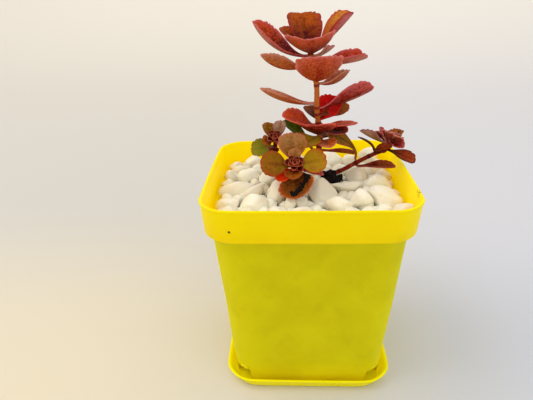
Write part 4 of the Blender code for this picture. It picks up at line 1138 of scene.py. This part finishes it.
def crumb_mesh():
    """A row of crumbs from the leaf's end to its right-hand margin, and a ring round the lump."""
    dice = random.Random(SEED)
    leaf = next(leaf for leaf in LEAVES if leaf.name == "front_leaf_bottom")
    shape = LeafShape(leaf, stem_paths[leaf.stem])
    upward = shape.frames[len(shape.frames) // 2][2]
    heap = bmesh.new()
    for _ in range(LEAF_CRUMBS):
        run = dice.random()
        across = 1.25 * run - 0.38 + dice.gauss(0, 0.08)
        share = 0.84 - 0.56 * run + 0.06 * math.sin(math.pi * run) + dice.gauss(0, 0.045)
        radius = dice.uniform(0.3, 0.8)
        place = shape.point(share, math.acos(min(across, 0.8)))[0]
        add_lump(heap, place + upward * radius * 0.6, radius, 1, 0.6, dice)
    for _ in range(CLOD_SPILL):
        angle = dice.uniform(0, 2 * math.pi)
        reach = dice.uniform(5.0, 8.5)
        place = CLOD_CENTRE + Vector((math.cos(angle) * reach, math.sin(angle) * reach * 0.8, -1.0))
        add_lump(heap, place, dice.uniform(0.3, 0.9), 1, 0.6, dice)
    return as_mesh("soil_crumbs", heap)


add_piece("soil_crumbs", crumb_mesh(), potting_soil, "soil")


# ---- studio ----------------------------------------------------------------------------
# A sheet of pale paper that sweeps up behind the pot, soft light from all round with a little
# more from the upper left, and the camera a forearm's length away, looking down at the rim.

PAPER_HALF = 5.0     # these sizes are metres
PAPER_BEND = 0.8     # how far behind the pot the paper starts to sweep up
PAPER_RADIUS = 1.6
CAMERA_PLACE = (-0.00865, -0.23116, 0.19480)
CAMERA_TURN = (65.786, 1.450, 2.540)
CAMERA_LENS = 32.2


def paper_mesh():
    """A flat sheet whose far part is rolled up round a wide bend."""
    sheet = bmesh.new()
    bmesh.ops.create_grid(sheet, x_segments=40, y_segments=200, size=PAPER_HALF)
    for vertex in sheet.verts:
        over = vertex.co.y - PAPER_BEND
        if over > 0:
            turn = min(over / PAPER_RADIUS, math.pi / 2)
            rest = max(0, over - PAPER_RADIUS * math.pi / 2)
            vertex.co.y = PAPER_BEND + PAPER_RADIUS * math.sin(turn)
            vertex.co.z = PAPER_RADIUS * (1 - math.cos(turn)) + rest
    return as_mesh("paper", sheet)


paper = Finish("studio_paper", roughness=0.9, specular_ior_level=0.1)
# The paper's colour paints light and shade: brighter and warmer to the near left, where the window light
# falls, a painted bluish shadow of the pot at the near right, a painted darker band across the floor's
# middle, and painted light paler up the wall.
side = paper.part("X")
depth = paper.part("Y")
east = paper.ease(side, -0.16, 0.16)
north = paper.ease(depth, -0.05, 0.2)
near = paper.mix(east, paint(226, 215, 191), paint(202, 206, 218))
middle = paper.mix(east, paint(207, 203, 196), paint(210, 210, 216))
painted_light_and_shade = paper.mix(paper.ease(depth, 0.1, 2.2), paper.mix(north, near, middle), paint(246, 239, 226))
paper.cover(base_color=paper.mix(paper.grain(0.8, 3) * 0.06, painted_light_and_shade, paint(190, 184, 172)))
paper_sheet = put("paper", paper_mesh())
paper_sheet.data.materials.append(paper.material)
paper_sheet.data.shade_smooth()


def add_lamp(name, place, size, power, colour, aim=(0, 0, 0.1)):
    """A square soft box that faces the plant, or another place."""
    light = bpy.data.lights.new(name, "AREA")
    light.size = size
    light.energy = power
    light.color = colour
    lamp = put(name, light)
    lamp.location = place
    lamp.rotation_euler = (Vector(aim) - lamp.location).to_track_quat("-Z", "Y").to_euler()


add_lamp("window", (-0.9, -0.1, 1.3), 1.0, 6.5, (1.0, 0.97, 0.92))
add_lamp("fill", (0.8, -1.0, 0.9), 1.2, 2.5, (0.94, 0.97, 1.0))
add_lamp("backdrop", (0.2, 1.0, 1.8), 1.5, 4.5, (1.0, 1.0, 1.0), aim=(0.1, 2.2, 0.3))

world = bpy.data.worlds.new("room")
world.use_nodes = True
room_light = world.node_tree.nodes["Background"].inputs
room_light["Color"].default_value = (1.0, 0.99, 0.97, 1.0)
room_light["Strength"].default_value = 0.9
bpy.context.scene.world = world
bpy.context.scene.view_settings.view_transform = "Standard"

camera = put("camera", bpy.data.cameras.new("camera"))
camera.data.lens = CAMERA_LENS
camera.data.clip_start = 0.01
camera.location = CAMERA_PLACE
camera.rotation_euler = [math.radians(turn) for turn in CAMERA_TURN]
bpy.context.scene.camera = camera
